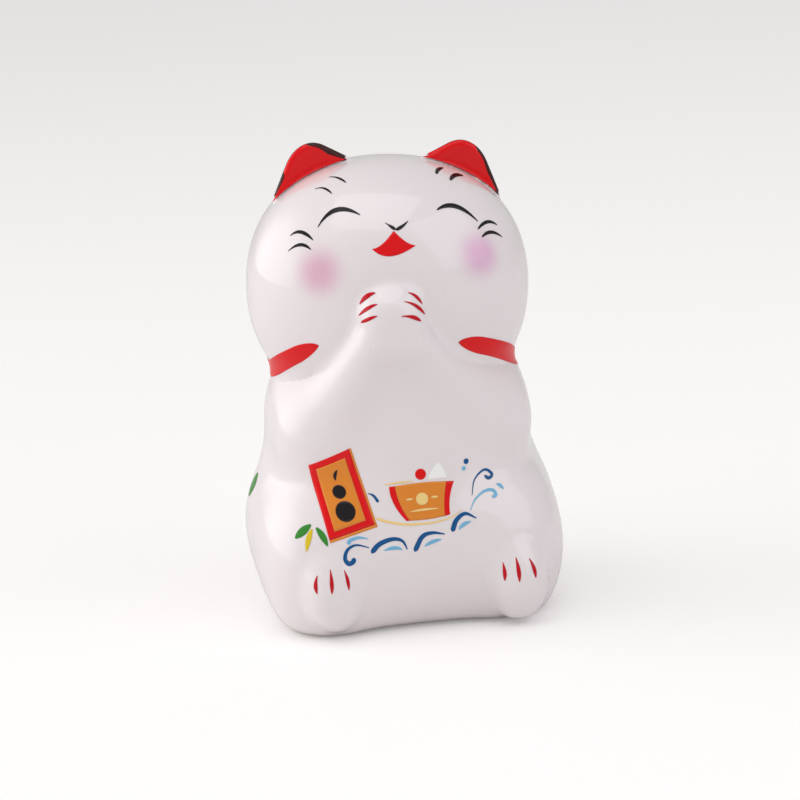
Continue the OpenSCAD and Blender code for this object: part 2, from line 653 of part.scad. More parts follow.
module hull_line() {
    color(PALE) {
        curl("picture", [[-7, -1.4], [-5, -2.15], [-2.2, -2.75], [1.4, -2.85], [4.4, -2.45], [6.5, -1.5]], 0.4, 18);
        stroke("picture", [-5.2, 3.5], [-2.9, 3.68], [-0.6, 3.75], 0.28, 0, 0, 6);
    }
}
module cargo_mound() {
    color([0.93, 0.90, 0.90]) patch("picture", [[1.5, 3.75], [2.1, 4.9], [3.25, 6.15]],
        [[4.6, 3.65], [4.3, 4.9], [3.5, 6.1]], 4, 5);
}
module cargo_ball() { color(RED) spot("picture", [0.5, 4.7], 1.7); }

module waves_dark() {
    color(BLUE) {
        curl("picture", [[-10.75, -7.15], [-11.05, -7.75], [-11.7, -7.9], [-12.2, -7.3], [-12.05, -6.4],
            [-11.4, -5.6], [-10.2, -5.25], [-8.4, -5.8]], 0.75, 24);
        curl("picture", [[-8.1, -6.7], [-6.7, -5.4], [-4.7, -4.8], [-3.2, -5.2], [-2.5, -6.6]], 0.8);
        curl("picture", [[-1.4, -7.1], [-0.1, -4.9], [1.5, -4.4], [3.5, -4.8]], 0.8);
        curl("picture", [[4.7, -4.6], [5.5, -2.9], [7, -2.1], [8.7, -3]], 0.8);
        curl("picture", [[-6.3, 0.9], [-6.95, 1.9], [-7.75, 2.3]], 0.45, 8);
    }
}
module waves_light() {
    color(SKY) {
        curl("picture", [[-11.5, -5.05], [-11.2, -4.5], [-9.8, -4.15], [-8.4, -4.45]], 0.6);
        stroke("picture", [-6.1, -6.5], [-4.5, -6.2], [-3.3, -6.6], 0.6);
        stroke("picture", [0.2, -6.4], [1.5, -5.8], [2.9, -5.6], 0.6);
        stroke("picture", [5.8, -4.4], [6.6, -3.7], [7.8, -3.4], 0.6);
    }
}
module spray_dark() {
    color(BLUE) {
        curl("picture", [[10.8, 2.95], [11.5, 2.45], [12.1, 2.9], [11.3, 3.7], [10.3, 3.6], [9, 2.5], [8.4, 0.4]], 0.5, 24);
        spot("picture", [8, 5.6], 0.85);
    }
}
module spray_light() {
    color(SKY) {
        curl("picture", [[11.6, -0.3], [12.3, -0.05], [11.8, 0.7], [10.4, 0.7], [8.8, -0.3], [7.9, -1.7]], 0.5, 20);
        stroke("picture", [12.6, 1.4], [13.2, 1.1], [13.7, 0.5], 0.5, 0, 0, 5);
        spot("picture", [7.5, 4.6], 0.65);
    }
}
module leaves_green() {
    color(GREEN) {
        stroke("picture", [-19.3, -4.1], [-18.1, -3], [-16.8, -2], 1.05);
        stroke("picture", [-16.1, -2.4], [-15.3, -3.6], [-14.7, -5.1], 1);
    }
}
module leaf_yellow() {
    color(YELLOW) stroke("picture", [-17.9, -5.9], [-17.4, -4.1], [-16.7, -2.6], 0.8);
}
// A long leaf of the side picture, which shows past the hip
module side_leaf() {
    steps = 8;
    at = function (lift) [for (i = [0:steps]) let (t = i/steps, z = 19.2 + 4*t,
            w = 3.2*pow(sin(180*(0.06 + 0.88*t)), 0.8))
        [for (s = [-1, 0, 1]) let (a = -96 - s*w + 3*t, o = [0, 0, z], d = heading(a))
            o + reach(o, d, lift)*d]];
    color(GREEN) sheet(at(seat), at(seat + enamel_t));
}

ceramic_body();
ear_red_left();
ear_red_right();
ear_dark_left();
ear_dark_right();
brow_marks_left();
brow_marks_right();
eye_line_left();
eye_line_right();
whisker_marks_left();
whisker_marks_right();
nose_mark();
mouth_mark();
finger_marks_left();
finger_marks_right();
collar_band();
toe_marks_left();
toe_marks_right();
plaque_border();
plaque_field();
plaque_motif();
sail_field();
sail_bands();
sail_motif();
hull_line();
cargo_mound();
cargo_ball();
waves_dark();
waves_light();
spray_dark();
spray_light();
leaves_green();
leaf_yellow();
side_leaf();
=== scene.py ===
# %% [markdown]
# # A small glazed lucky cat
#
# The real thing is one hollow slip casting, dipped in white glaze, with colours
# brushed or slid on over the glaze and fired again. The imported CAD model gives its
# size and the place of every layer. This notebook lays a finer skin on that frame:
# one smooth ceramic shell, then each fired colour as a thin sheet of its own.

import json

import bpy
import numpy as np
from mathutils import Matrix, Vector

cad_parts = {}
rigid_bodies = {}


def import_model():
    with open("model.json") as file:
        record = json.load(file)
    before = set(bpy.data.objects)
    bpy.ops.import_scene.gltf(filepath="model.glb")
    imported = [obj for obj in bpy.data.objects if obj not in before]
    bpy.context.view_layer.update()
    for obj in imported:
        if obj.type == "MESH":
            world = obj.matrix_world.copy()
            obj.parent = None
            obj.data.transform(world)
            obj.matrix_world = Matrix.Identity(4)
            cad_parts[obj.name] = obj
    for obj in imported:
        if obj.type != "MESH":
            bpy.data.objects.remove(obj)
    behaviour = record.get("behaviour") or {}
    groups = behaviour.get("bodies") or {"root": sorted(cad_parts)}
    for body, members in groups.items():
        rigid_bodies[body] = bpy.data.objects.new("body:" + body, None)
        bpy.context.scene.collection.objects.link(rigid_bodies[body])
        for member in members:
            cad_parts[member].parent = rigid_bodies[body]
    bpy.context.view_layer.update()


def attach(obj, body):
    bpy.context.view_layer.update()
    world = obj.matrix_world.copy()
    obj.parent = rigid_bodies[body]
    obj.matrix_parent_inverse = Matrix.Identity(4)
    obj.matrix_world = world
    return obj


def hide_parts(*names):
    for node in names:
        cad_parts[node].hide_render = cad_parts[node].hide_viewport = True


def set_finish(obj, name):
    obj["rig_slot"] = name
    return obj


for leftover in list(bpy.data.objects):
    bpy.data.objects.remove(leftover)
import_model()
MM = 0.001

# %% [markdown]
# ## The shape as one formula
#
# A smooth figure like this could be sculpted, or built from boxes with a
# subdivision modifier. Here it is written as a distance formula instead: a few egg
# shapes and limbs, melted into one another over a chosen width. The same formula
# then places the skin, its normals and every painted line, so nothing can drift
# off the glaze. All its lengths are in millimetres.

# %% Melting two distances together
def soft_min(a, b, width):
    """The smaller of two distances; where they are within width of each other, a
    parabola joins them, which turns the crease between two shapes into a fillet."""
    share = np.clip(0.5 + 0.5 * (b - a) / width, 0, 1)
    return b + (a - b) * share - width * share * (1 - share)


def soft_max(a, b, width):
    """The larger of two distances, joined in the same way: it rounds an edge."""
    return -soft_min(-a, -b, width)


def egg(p, centre, size, power=2.0):
    """Distance to an egg shape: k is the root of the summed powers of the point's
    coordinates over the half sizes. It is 1 on the surface, and (k - 1) / k times
    the point's own distance from the centre is close to the real distance."""
    q = p - np.asarray(centre, float)
    parts = np.abs(2 * q / np.asarray(size, float)) ** power
    k = np.maximum(parts.sum(-1) ** (1 / power), 1e-3)
    return np.linalg.norm(q, axis=-1) * (k - 1) / k


def limb(p, start, end, radius_start, radius_end):
    """Distance to a rounded rod whose radius runs evenly from one end to the other:
    t is how far along the rod the nearest point lies, from 0 to 1."""
    start, axis = np.asarray(start, float), np.asarray(end, float) - start
    t = np.clip((p - start) @ axis / (axis @ axis), 0, 1)
    away = np.linalg.norm(p - start - t[..., None] * axis, axis=-1)
    return away - radius_start - (radius_end - radius_start) * t


print("two distances of 1 mm melt to", float(soft_min(np.array(1.0), np.array(1.0), 6.0)))

# %% [markdown]
# ## The head's own frame
#
# The head is turned a little to one side and tipped, so the face is drawn in a
# frame that turns with it. Two short functions carry points between the two.

# %% Head frame
HEAD_Z = 52.4
HEAD_SIZE = (44.6, 39.0, 40.4)
HEAD_POWER = 2.2
TURN, TILT = np.radians(3.0), np.radians(3.2)
TURNED = np.array([[np.cos(TURN), np.sin(TURN), 0], [-np.sin(TURN), np.cos(TURN), 0], [0, 0, 1]])
TIPPED = np.array([[np.cos(TILT), 0, np.sin(TILT)], [0, 1, 0], [-np.sin(TILT), 0, np.cos(TILT)]])
HEAD_AXES = TIPPED @ TURNED


def to_head(p):
    """World point to the head's frame: take off its centre, then turn back."""
    return (p - [0, 0, HEAD_Z]) @ HEAD_AXES


def from_head(q):
    """Head point to the world: turn, then add the head's centre."""
    return q @ HEAD_AXES.T + [0, 0, HEAD_Z]


print("front of the head in the world:", np.round(from_head(np.array([0, -19.5, 0.0])), 2))

# %% [markdown]
# ## Head, ears, limbs and trunk
#
# Each function gives the distance to one part of the cat. An ear is half of a dome
# whose outline is a rounded triangle, with a shallow dish in its front and a soft
# rim. The blends say over what width one part melts into the next.

# %% Ears
EAR_AT = np.array([11.8, -1.5, 16.8])
EAR_HALF, EAR_HIGH, EAR_DEEP = 7.0, 5.4, 5.6
EAR_SLOPE = np.radians(27.0)
EAR_LEAN, EAR_ROUND = 0.21, 2.2
EAR_DISH, EAR_RIM, EAR_BURY = 0.45, 1.1, 4.0


def to_ear(q, side):
    """Head point to an ear's frame: mirror for the left ear, move to its foot, and
    turn about Y so that X runs outwards along the foot and Z away from the head."""
    m = q * [side, 1, 1] - EAR_AT
    x = m[..., 0] * np.cos(EAR_SLOPE) - m[..., 2] * np.sin(EAR_SLOPE)
    z = m[..., 0] * np.sin(EAR_SLOPE) + m[..., 2] * np.cos(EAR_SLOPE)
    return np.stack([x, m[..., 1], z], -1)


def from_ear(e, side):
    """An ear's frame back to the world."""
    x = e[..., 0] * np.cos(EAR_SLOPE) + e[..., 2] * np.sin(EAR_SLOPE)
    z = e[..., 2] * np.cos(EAR_SLOPE) - e[..., 0] * np.sin(EAR_SLOPE)
    return from_head((np.stack([x, e[..., 1], z], -1) + EAR_AT) * [side, 1, 1])


def power_sum(outer, inner):
    """Root of the summed powers of the shares towards both sides, which is 1 on the
    outline. The power is what rounds the tip where the sides meet."""
    return (outer**EAR_ROUND + inner**EAR_ROUND) ** (1 / EAR_ROUND)


def ear_sides(x, z):
    """How far a point lies towards the outer and the inner side of the ear's
    triangle: 0 on the middle of its foot, 1 on the side itself."""
    x, z = (x + EAR_LEAN * z) / EAR_HALF, z / (EAR_HIGH * 2 ** (1 / EAR_ROUND))
    return np.maximum(z + x, 0), np.maximum(z - x, 0)


def ear_share(e):
    """0 in the middle of the ear, 1 on its outline."""
    return power_sum(*ear_sides(e[..., 0], np.maximum(e[..., 2], 0)))


def ear_outline(a, grow=0.0):
    """The outline at angle a, 0 at the outer end of the foot and pi at the inner
    one, moved outwards by grow along its normal."""
    c, n = np.cos(a), np.sin(a)
    outer, inner = ear_sides(c, n)
    share = power_sum(outer, inner)
    outer, inner = outer ** (EAR_ROUND - 1), inner ** (EAR_ROUND - 1)
    across = (outer - inner) / EAR_HALF
    up = (outer + inner) / (EAR_HIGH * 2 ** (1 / EAR_ROUND)) + EAR_LEAN * across
    size = np.hypot(across, up)
    return c / share + grow * across / size, n / share + grow * up / size


def ear(q, side):
    """Distance to an ear: the dome (outline share and depth on one ellipse) cut by
    a front that is dished towards its middle, with the rim rounded over. It ends
    below its foot, well inside the head."""
    e = to_ear(q, side)
    share = ear_share(e)
    k = np.maximum(np.hypot(share, e[..., 1] / EAR_DEEP), 1e-3)
    dome = np.maximum(np.linalg.norm(e, axis=-1), 1.0) * (k - 1) / k
    front = EAR_DISH * np.clip(1 - (share / 0.85) ** 2, 0, 1) - e[..., 1]
    return np.maximum(soft_max(dome, front, EAR_RIM), -e[..., 2] - EAR_BURY)


print("top of an ear's outline:", np.round(ear_outline(np.pi / 2), 2))

# %% Limbs and trunk
SHOULDER, ELBOW, WRIST, PAW = [11.8, -2, 32.7], [12.6, -8.6, 31.5], [3.2, -18, 46], [1.9, -19, 50.4]
PAW_SHIFT = 2.2
BODY_BLEND, FOOT_BLEND, TAIL_BLEND = 6.0, 1.4, 4.0
ELBOW_BLEND, PAW_BLEND, PAIR_BLEND = 3.0, 2.0, 4.0
NECK_BLEND, CHIN_BLEND, ARM_BLEND, EAR_BLEND = 3.0, 1.8, 4.5, 0.5
EDGE_ROUND = 2.0


def arm(p, side):
    """Distance to one arm: shoulder to elbow, elbow to wrist, and the egg of a paw,
    all of it mirrored about the middle, with the hands moved a little to one side."""
    q = p * [side, 1, 1]
    aside = np.array([-side * PAW_SHIFT, 0, 0])
    upper = limb(q, SHOULDER, ELBOW, 6.8, 6.4)
    fore = limb(q, ELBOW, WRIST + aside, 6.4, 3.4)
    paw = egg(q, PAW + aside, (6.2, 6, 8.4))
    return soft_min(soft_min(upper, fore, ELBOW_BLEND), paw, PAW_BLEND)


def trunk(p):
    """Distance to trunk, chest, hips, thighs, belly, feet and the stub of a tail."""
    m = np.stack([np.abs(p[..., 0]), p[..., 1], p[..., 2]], -1)
    bib = limb(p, [0, -8.5, 31], [-1.2, -16.6, 46], 9.0, 3.9)
    high = soft_min(egg(p, [0, 0, 32], (41.6, 35, 37)), bib, BODY_BLEND)
    thighs = egg(m, [13.3, -8.8, 10.5], (21.6, 24, 29))
    low = soft_min(egg(p, [0, 2.8, 14], (50, 38, 42)), thighs, BODY_BLEND)
    low = soft_min(low, egg(p, [0, -7.2, 15], (34, 27.6, 35)), BODY_BLEND)
    foot_size = (9.6, 8.8, 13.4)
    feet = np.minimum(egg(p, [14.9, -18.7, 7.2], foot_size), egg(p, [-13.9, -18.2, 8.4], foot_size))
    low = soft_min(low, feet, FOOT_BLEND)
    return soft_min(soft_min(high, low, BODY_BLEND), egg(p, [0, 17.4, 9], (9, 9, 9)), TAIL_BLEND)


def earless(p):
    """Distance to trunk, arms and head, with no base yet. Each pair melts over its
    own width, widest between arms and trunk, and the least of the three counts."""
    arms = soft_min(arm(p, 1), arm(p, -1), PAIR_BLEND)
    head = egg(to_head(p), [0, 0, 0], HEAD_SIZE, HEAD_POWER)
    rest = trunk(p)
    least = np.minimum(soft_min(rest, head, NECK_BLEND), soft_min(arms, head, CHIN_BLEND))
    return np.minimum(least, soft_min(rest, arms, ARM_BLEND))


def cat(p):
    """Distance to the glazed cat: the ears melted on to the rest, and the base cut
    flat at the table with its edge rounded."""
    q = to_head(p)
    ears = np.minimum(ear(q, 1), ear(q, -1))
    return soft_max(soft_min(earless(p), ears, EAR_BLEND), -p[..., 2], EDGE_ROUND)


print("distance at the crown's height:", round(float(cat(np.array([0.0, 0.0, 72.6]))), 2), "mm")

# %% [markdown]
# ## Finding the skin
#
# `reach` walks from inside points along rays and halves the step until it stands a
# wanted lift above the glaze. `slope` is the formula's own steepest direction,
# which is the true normal of the surface, better than any that faces can give.

# %% Rays and normals
def reach(origin, ray, lift=0.0, formula=cat, far=42.0, halvings=26):
    """Bisection on whole arrays: keep the half of the ray in which the distance
    still changes from less to more than the lift."""
    near = np.zeros(np.broadcast(origin[..., 0], ray[..., 0]).shape)
    far = near + far
    for _ in range(halvings):
        middle = (near + far) / 2
        outside = formula(origin + middle[..., None] * ray) > lift
        near, far = np.where(outside, near, middle), np.where(outside, middle, far)
    return origin + ((near + far) / 2)[..., None] * ray


def slope(p, step=0.01):
    """Gradient by central differences along X, Y and Z."""
    shifts = np.eye(3) * step
    return np.stack([(cat(p + s) - cat(p - s)) / (2 * step) for s in shifts], -1)


def settle(p, rounds=12, longest=0.2):
    """Newton steps: move each point along the slope by its distance over the
    slope's squared length, never further than longest, until it lies on the skin."""
    for _ in range(rounds):
        g = slope(p)
        move = (cat(p) / np.maximum((g * g).sum(-1), 0.05))[..., None] * g
        size = np.linalg.norm(move, axis=-1, keepdims=True)
        p = p - move * np.minimum(1, longest / np.maximum(size, 1e-9))
    return p


print("the steepest change is", np.round(np.linalg.norm(slope(np.array([[20.0, -5, 30]]))), 2), "mm per mm")

# %% [markdown]
# ## From arrays to a mesh
#
# A grid of points becomes quads by joining each point to its neighbours. The
# numbers go into the mesh in one call each, which is quick even for large grids.

# %% Mesh helpers
def quads(rows, columns, ring=False, first=0):
    """Corner numbers of the quads of a grid stored row by row; ring joins the last
    column to the first."""
    j = np.arange(columns if ring else columns - 1)
    i = np.arange(rows - 1)[:, None] * columns + first
    k = (j + 1) % columns
    return np.stack([i + j, i + k, i + columns + k, i + columns + j], -1).reshape(-1, 4)


def add_object(name, data):
    """A new object in the scene that shows a mesh, a lamp or a camera."""
    thing = bpy.data.objects.new(name, data)
    bpy.context.scene.collection.objects.link(thing)
    return thing


def make_mesh(name, points, faces):
    """A mesh object from points in millimetres and faces of any corner count."""
    mesh = bpy.data.meshes.new(name)
    mesh.from_pydata((np.asarray(points) * MM).tolist(), [], [list(map(int, f)) for f in faces])
    mesh.update()
    return add_object(name, mesh)


def shade_smooth(piece):
    """Every face takes part in smooth shading."""
    piece.data.polygons.foreach_set("use_smooth", np.ones(len(piece.data.polygons), bool))
    piece.data.update()


print("a 3 by 4 grid has", len(quads(3, 4)), "quads")

# %% [markdown]
# ## The ceramic shell
#
# The ears stand up from the head, so no single sheet of rays can cover both. The
# rough shells of body and ears are therefore closed first, and Blender's voxel
# remesher lays one even net of quads over all three. Newton steps then pull each
# point of the net on to the formula, which brings back the fillets and the rims.

# %% Rough shells
def compass(angle, up=0.0):
    """Unit rays: angle 0 looks along the face, 90 degrees to the viewer's right."""
    return np.stack([np.sin(angle) * np.cos(up), -np.cos(angle) * np.cos(up), np.sin(up) + 0 * angle], -1)


def rings_to_solid(rings, top, bottom):
    """Points and faces of a closed skin of rings with a fan at each end."""
    rows, columns = rings.shape[:2]
    points = np.concatenate([rings.reshape(-1, 3), [top, bottom]])
    faces = quads(rows, columns, ring=True)
    j = np.arange(columns)
    k = (j + 1) % columns
    last = (rows - 1) * columns
    fans = [[last + a, last + b, rows * columns] for a, b in zip(j, k)]
    fans += [[b, a, rows * columns + 1] for a, b in zip(j, k)]
    return points, [list(f) for f in faces] + fans


def wall_rings(around, heights, ups, lift=0.0, formula=cat):
    """Rings of skin points on rays from the middle line: level rays up to the
    head's centre, then steeper and steeper ones from that centre, and the top."""
    centre = np.array([0, 0, HEAD_Z])
    low = reach(np.array([[[0, 0, h]] for h in heights]), compass(around)[None], lift, formula)
    high = reach(centre, np.stack([compass(around, u) for u in ups]), lift, formula)
    top = reach(centre[None], np.array([[0, 0, 1.0]]), lift, formula)[0]
    return np.concatenate([low, high]), top


outer_rings, crown = wall_rings(np.radians(np.arange(0, 360, 2.5)), np.linspace(0.0, HEAD_Z, 90),
                                np.radians(np.linspace(0, 90, 40)[1:-1]))
shell_points, shell_faces = rings_to_solid(outer_rings, crown, [0, 0, 0])
shell = make_mesh("ceramic_shell", shell_points, shell_faces)
print("rough shell:", len(shell_points), "points")

# %% Rough ears
def rough_ear(side):
    """A closed half dome: outline angle by depth, sunk into the head at its foot."""
    depth = np.linspace(0, 1, 13)[:-1, None]
    shrink = np.sqrt(1 - depth**2)
    x, z = ear_outline(np.radians(np.linspace(0, 180, 41)))
    x, z = shrink * x, shrink * z
    rim = np.stack([x, EAR_DEEP * depth + 0 * x, z], -1)
    foot = np.stack([x[:, [-1, 0]], rim[:, [-1, 0], 1], np.full((12, 2), -3.5)], -1)
    rings = np.concatenate([rim, foot], 1)
    if side > 0:
        rings = rings[:, ::-1]
    ends = from_ear(np.array([[0, EAR_DEEP, 0], [0, 0.0, 0]]), side)
    return rings_to_solid(from_ear(rings, side), ends[0], ends[1])


SIDES = ((-1, "left"), (1, "right"))
bpy.ops.object.select_all(action="DESELECT")
for side, word in SIDES:
    ear_points, ear_faces = rough_ear(side)
    lump = make_mesh("rough_ear_" + word, ear_points, ear_faces)
    lump.select_set(True)
shell.select_set(True)
bpy.context.view_layer.objects.active = shell
bpy.ops.object.join()
print("joined:", len(shell.data.vertices), "points")

# %% [markdown]
# The net's mesh size is the one choice here: small enough for the ears' rims,
# large enough to keep the piece light.

# %% Even net, pulled on to the formula
NET = 0.43
shell.data.remesh_voxel_size = NET * MM
shell.data.remesh_voxel_adaptivity = 0
bpy.ops.object.voxel_remesh()


def vertices(piece):
    """All the vertices of a piece, in millimetres."""
    flat = np.empty(len(piece.data.vertices) * 3, np.float32)
    piece.data.vertices.foreach_get("co", flat)
    return flat.reshape(-1, 3).astype(float) / MM


skin = settle(vertices(shell))
shell.data.vertices.foreach_set("co", (skin * MM).astype(np.float32).ravel())
shell.data.update()
print("net:", len(shell.data.polygons), "quads, off the formula by", float(np.abs(cat(skin)).max()), "mm")

# %% [markdown]
# ## Hollow, with a vent in the base
#
# Casting slip builds a wall on the inside of the mould and the rest is poured out
# through a hole in the base. The same rays find the inner wall, 3 mm in, and one
# boolean takes the hollow and its vent out of the solid net.

# %% Hollow and vent
WALL, FLOOR, VENT_R = 3.0, 3.0, 4.5
CORNER, OVERCUT = 0.6, 0.6
around = np.radians(np.arange(0, 360, 4.0))
inner_heights = np.concatenate([[FLOOR + CORNER], np.linspace(FLOOR + 2, HEAD_Z, 34)])
inner_ups = np.radians(np.linspace(0, 90, 18)[1:-1])
inner_rings, inner_top = wall_rings(around, inner_heights, inner_ups, -WALL, earless)
vent_flare = [(1.0, -OVERCUT), (0.7, 0.0), (0.25, 0.3), (0, 0.9), (0, FLOOR)]
vent_rings = np.stack([compass(around) * (VENT_R + wider) + [0, 0, z] for wider, z in vent_flare])
toe = inner_rings[0] * [1, 1, 0]
toe = toe * (1 - CORNER / np.linalg.norm(toe, axis=-1, keepdims=True)) + [0, 0, FLOOR]
hollow_rings = np.concatenate([vent_rings, toe[None], inner_rings])
hollow_points, hollow_faces = rings_to_solid(hollow_rings, inner_top, [0, 0, -OVERCUT])
hollow = make_mesh("hollow_tool", hollow_points, hollow_faces)

carve = shell.modifiers.new("hollow", "BOOLEAN")
carve.operation, carve.solver, carve.object = "DIFFERENCE", "MANIFOLD", hollow
bpy.context.view_layer.objects.active = shell
bpy.ops.object.modifier_apply(modifier="hollow")
bpy.data.objects.remove(hollow)
print("hollowed:", len(shell.data.vertices), "points,", len(shell.data.polygons), "faces")

# %% True normals
NORMAL_STEP, ON_SKIN = 0.2, 0.06


def true_normals(piece):
    """Gives each corner of an outer face the formula's own slope as its normal, and
    leaves the corners of the hollow to Blender. Faces belong to the outside where
    their middle lies on the formula's surface."""
    mesh = piece.data
    points = vertices(piece)
    outward = slope(points, NORMAL_STEP)
    outward /= np.linalg.norm(outward, axis=-1, keepdims=True)
    corners = np.empty(len(mesh.loops), np.int32)
    mesh.loops.foreach_get("vertex_index", corners)
    sizes = np.empty(len(mesh.polygons), np.int32)
    mesh.polygons.foreach_get("loop_total", sizes)
    middles = np.empty(len(mesh.polygons) * 3, np.float32)
    mesh.polygons.foreach_get("center", middles)
    on_skin = np.abs(cat(middles.reshape(-1, 3).astype(float) / MM)) < ON_SKIN
    normals = outward[corners] * np.repeat(on_skin, sizes)[:, None]
    mesh.normals_split_custom_set(normals.tolist())
    return int(on_skin.sum())


shade_smooth(shell)
outer_faces = true_normals(shell)
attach(shell, "root")
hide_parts("ceramic_body")
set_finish(shell, "glazed_ceramic")
print("outer faces with true normals:", outer_faces)

# %% [markdown]
# ## Paint that lies on the glaze
#
# A fired colour is a film a few hundredths of a millimetre thick. Each mark is
# drawn flat, as across and up, then brought forward to the skin along parallel
# rays: marks on the face in the head's frame, all others straight along the body.
# A lower and an upper sheet, with a wall round the edge, close it into a solid.

# %% Sheets
FILM = 0.03
PAINT = 0.05
PICTURE_UP = 21.0


def on_face(x, z, lift):
    """Drawing to skin in the head's frame: start inside at depth 0, go forward."""
    start = from_head(np.stack([x, 0 * x, z], -1))
    return reach(start, HEAD_AXES @ np.array([0, -1.0, 0]) + 0 * start, lift)


def on_body(x, z, lift):
    """The same straight forward from the body's middle plane."""
    start = np.stack([x, 0 * x, z], -1)
    return reach(start, np.array([0, -1.0, 0]) + 0 * start, lift)


def on_picture(x, z, lift):
    """The belly picture's own drawing board, whose origin is PICTURE_UP high."""
    return on_body(x, z + PICTURE_UP, lift)


def closed_sheet(low, high):
    """Joins two grids of points into one thin solid, with each point's share of the
    way along the rows and across the columns. Rows run to the right and columns
    upwards as seen from outside; the edge loop runs the same way round."""
    rows, columns = low.shape[:2]
    n = rows * columns
    across, up = np.arange(rows), np.arange(columns)
    loop = np.concatenate([across[:-1] * columns, (rows - 1) * columns + up[:-1],
                           across[:0:-1] * columns + columns - 1, up[:0:-1]])
    after = np.roll(loop, -1)
    walls = np.stack([loop, after, after + n, loop + n], -1)
    faces = np.concatenate([quads(rows, columns), quads(rows, columns, first=n)[:, ::-1], walls])
    flow = np.stack(np.meshgrid(np.linspace(0, 1, rows), np.linspace(0, 1, columns), indexing="ij"), -1)
    points = np.concatenate([low.reshape(-1, 3), high.reshape(-1, 3)])
    return points, faces, np.tile(flow.reshape(-1, 2), (2, 1))


def film(place, x, z, bulge=1.0, layer=0):
    """One layer of colour on the skin; bulge is its share of full thickness at each
    point of the grid, and higher layers lie on lower ones."""
    base = FILM + layer * (FILM + PAINT)
    return closed_sheet(place(x, z, base), place(x, z, base + PAINT * bulge))


def film_around(a, z, bulge):
    """The same for a grid of compass angles and heights, laid on along rays from the
    body's middle line."""
    start = np.stack([0 * z, 0 * z, z], -1)
    return closed_sheet(reach(start, compass(a), FILM), reach(start, compass(a), FILM + PAINT * bulge))


print("paint is", PAINT, "mm thick on a", FILM, "mm film of glaze")

# %% [markdown]
# A brush line is a curve with a width. A bow goes through three points and a trail
# through any number of them, and a ribbon gives either one its width.

# %% Brush strokes
def bow(a, m, b, t):
    """The curve that passes a at t = 0, m half way and b at 1: a quadratic Bezier
    whose handle is twice m less the mean of a and b."""
    a, m, b = (np.asarray(q, float) for q in (a, m, b))
    c = 2 * m - (a + b) / 2
    t = np.asarray(t)[..., None]
    return (1 - t) ** 2 * a + 2 * t * (1 - t) * c + t**2 * b


def ribbon(place, line, along, width, fat, layer=0):
    """A line of points widened to both sides by its share of the width, and domed
    across: its thickness follows half an ellipse."""
    s = np.linspace(-1, 1, 9)
    along = along / np.linalg.norm(along, axis=-1, keepdims=True)
    side = np.stack([-along[:, 1], along[:, 0]], -1)
    grid = line[:, None] + side[:, None] * (width / 2 * fat)[:, None, None] * s[None, :, None]
    bulge = np.sqrt(1 - 0.9 * s**2)[None] * (0.4 + 0.6 * fat[:, None])
    return film(place, grid[..., 0], grid[..., 1], bulge, layer)


def stroke(place, a, m, b, width, lean=0.0, layer=0):
    """A brush stroke: a bow with a width that swells as a half sine wave and thins
    to a point at both ends. lean moves the swell from the start (-1) to the end
    (1)."""
    t = np.linspace(0, 1, 33)
    line = bow(a, m, b, t)
    swell = np.sin(np.pi * (0.04 + 0.92 * t ** (2.0**lean))) ** 0.8
    return ribbon(place, line, np.gradient(line, axis=0), width, swell, layer)


def trail(points, t):
    """A smooth curve through a list of points, after Catmull and Rom: between two
    neighbours it is the cubic whose slopes follow the points on either side."""
    q = np.asarray(points, float)
    q = np.concatenate([[2 * q[0] - q[1]], q, [2 * q[-1] - q[-2]]])
    u = np.asarray(t) * (len(q) - 3)
    i = np.minimum(np.floor(u).astype(int), len(q) - 4)
    f = (u - i)[..., None]
    a, b, c, d = q[i], q[i + 1], q[i + 2], q[i + 3]
    return (2 * b + (c - a) * f + (2 * a - 5 * b + 4 * c - d) * f**2 + (3 * b - a - 3 * c + d) * f**3) / 2


def curl(place, points, width):
    """A curled brush line: round and full where the brush was set down, then thinner
    by a square of the way towards the end where it was lifted."""
    t = np.linspace(0, 1, 25 + 8 * (len(points) - 3))
    along = trail(points, np.minimum(1, t + 0.01)) - trail(points, np.maximum(0, t - 0.01))
    fat = np.maximum(0.12, np.minimum(1, np.sqrt(t / 0.06)) * (1 - 0.8 * t**2))
    return ribbon(place, trail(points, t), along, width, fat)


def spot(place, centre, across, layer=0):
    """A round drop: columns of half-chord height over the diameter, domed."""
    x = -np.cos(np.linspace(0, np.pi, 21))[:, None]
    half = np.sqrt(np.maximum(1 - x**2, 0.002))
    s = np.linspace(-1, 1, 11)[None]
    bulge = np.sqrt(np.maximum(1 - 0.95 * (x**2 + (half * s) ** 2), 0.04))
    r = across / 2
    return film(place, centre[0] + r * (x + 0 * s), centre[1] + r * half * s, bulge, layer)


print("middle of a bow:", bow([0, 0], [1, 1], [2, 0], 0.5))

# %% Pieces of paint
pieces = {}


def painted(node, slot_name, parts, name=None):
    """Makes one piece of several sheets, with a UV map that runs along and across
    each of them, and hands it to the frame in place of its CAD node."""
    firsts = np.cumsum([0] + [len(points) for points, _, _ in parts])
    points = np.concatenate([part[0] for part in parts])
    faces = np.concatenate([part[1] + first for part, first in zip(parts, firsts)])
    flow = np.concatenate([part[2] for part in parts])
    piece = make_mesh(name or node + "_paint", points, faces)
    uv = piece.data.uv_layers.new(name="flow")
    uv.data.foreach_set("uv", flow[faces.ravel()].astype(np.float32).ravel())
    shade_smooth(piece)
    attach(piece, "root")
    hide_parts(node)
    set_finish(piece, slot_name)
    pieces[node] = piece


def millimetres(node):
    """A piece's outer sizes, for printing."""
    return np.round(np.array(pieces[node].dimensions) / MM, 1), "mm"


print("pieces of paint so far:", len(pieces))

# %% [markdown]
# ## The face
#
# Closed happy eyes, two brow ticks and two whisker ticks a side, a small nose and
# an open red mouth. On the real cat each is one or two strokes of a fine brush
# that starts pointed, swells and ends pointed.

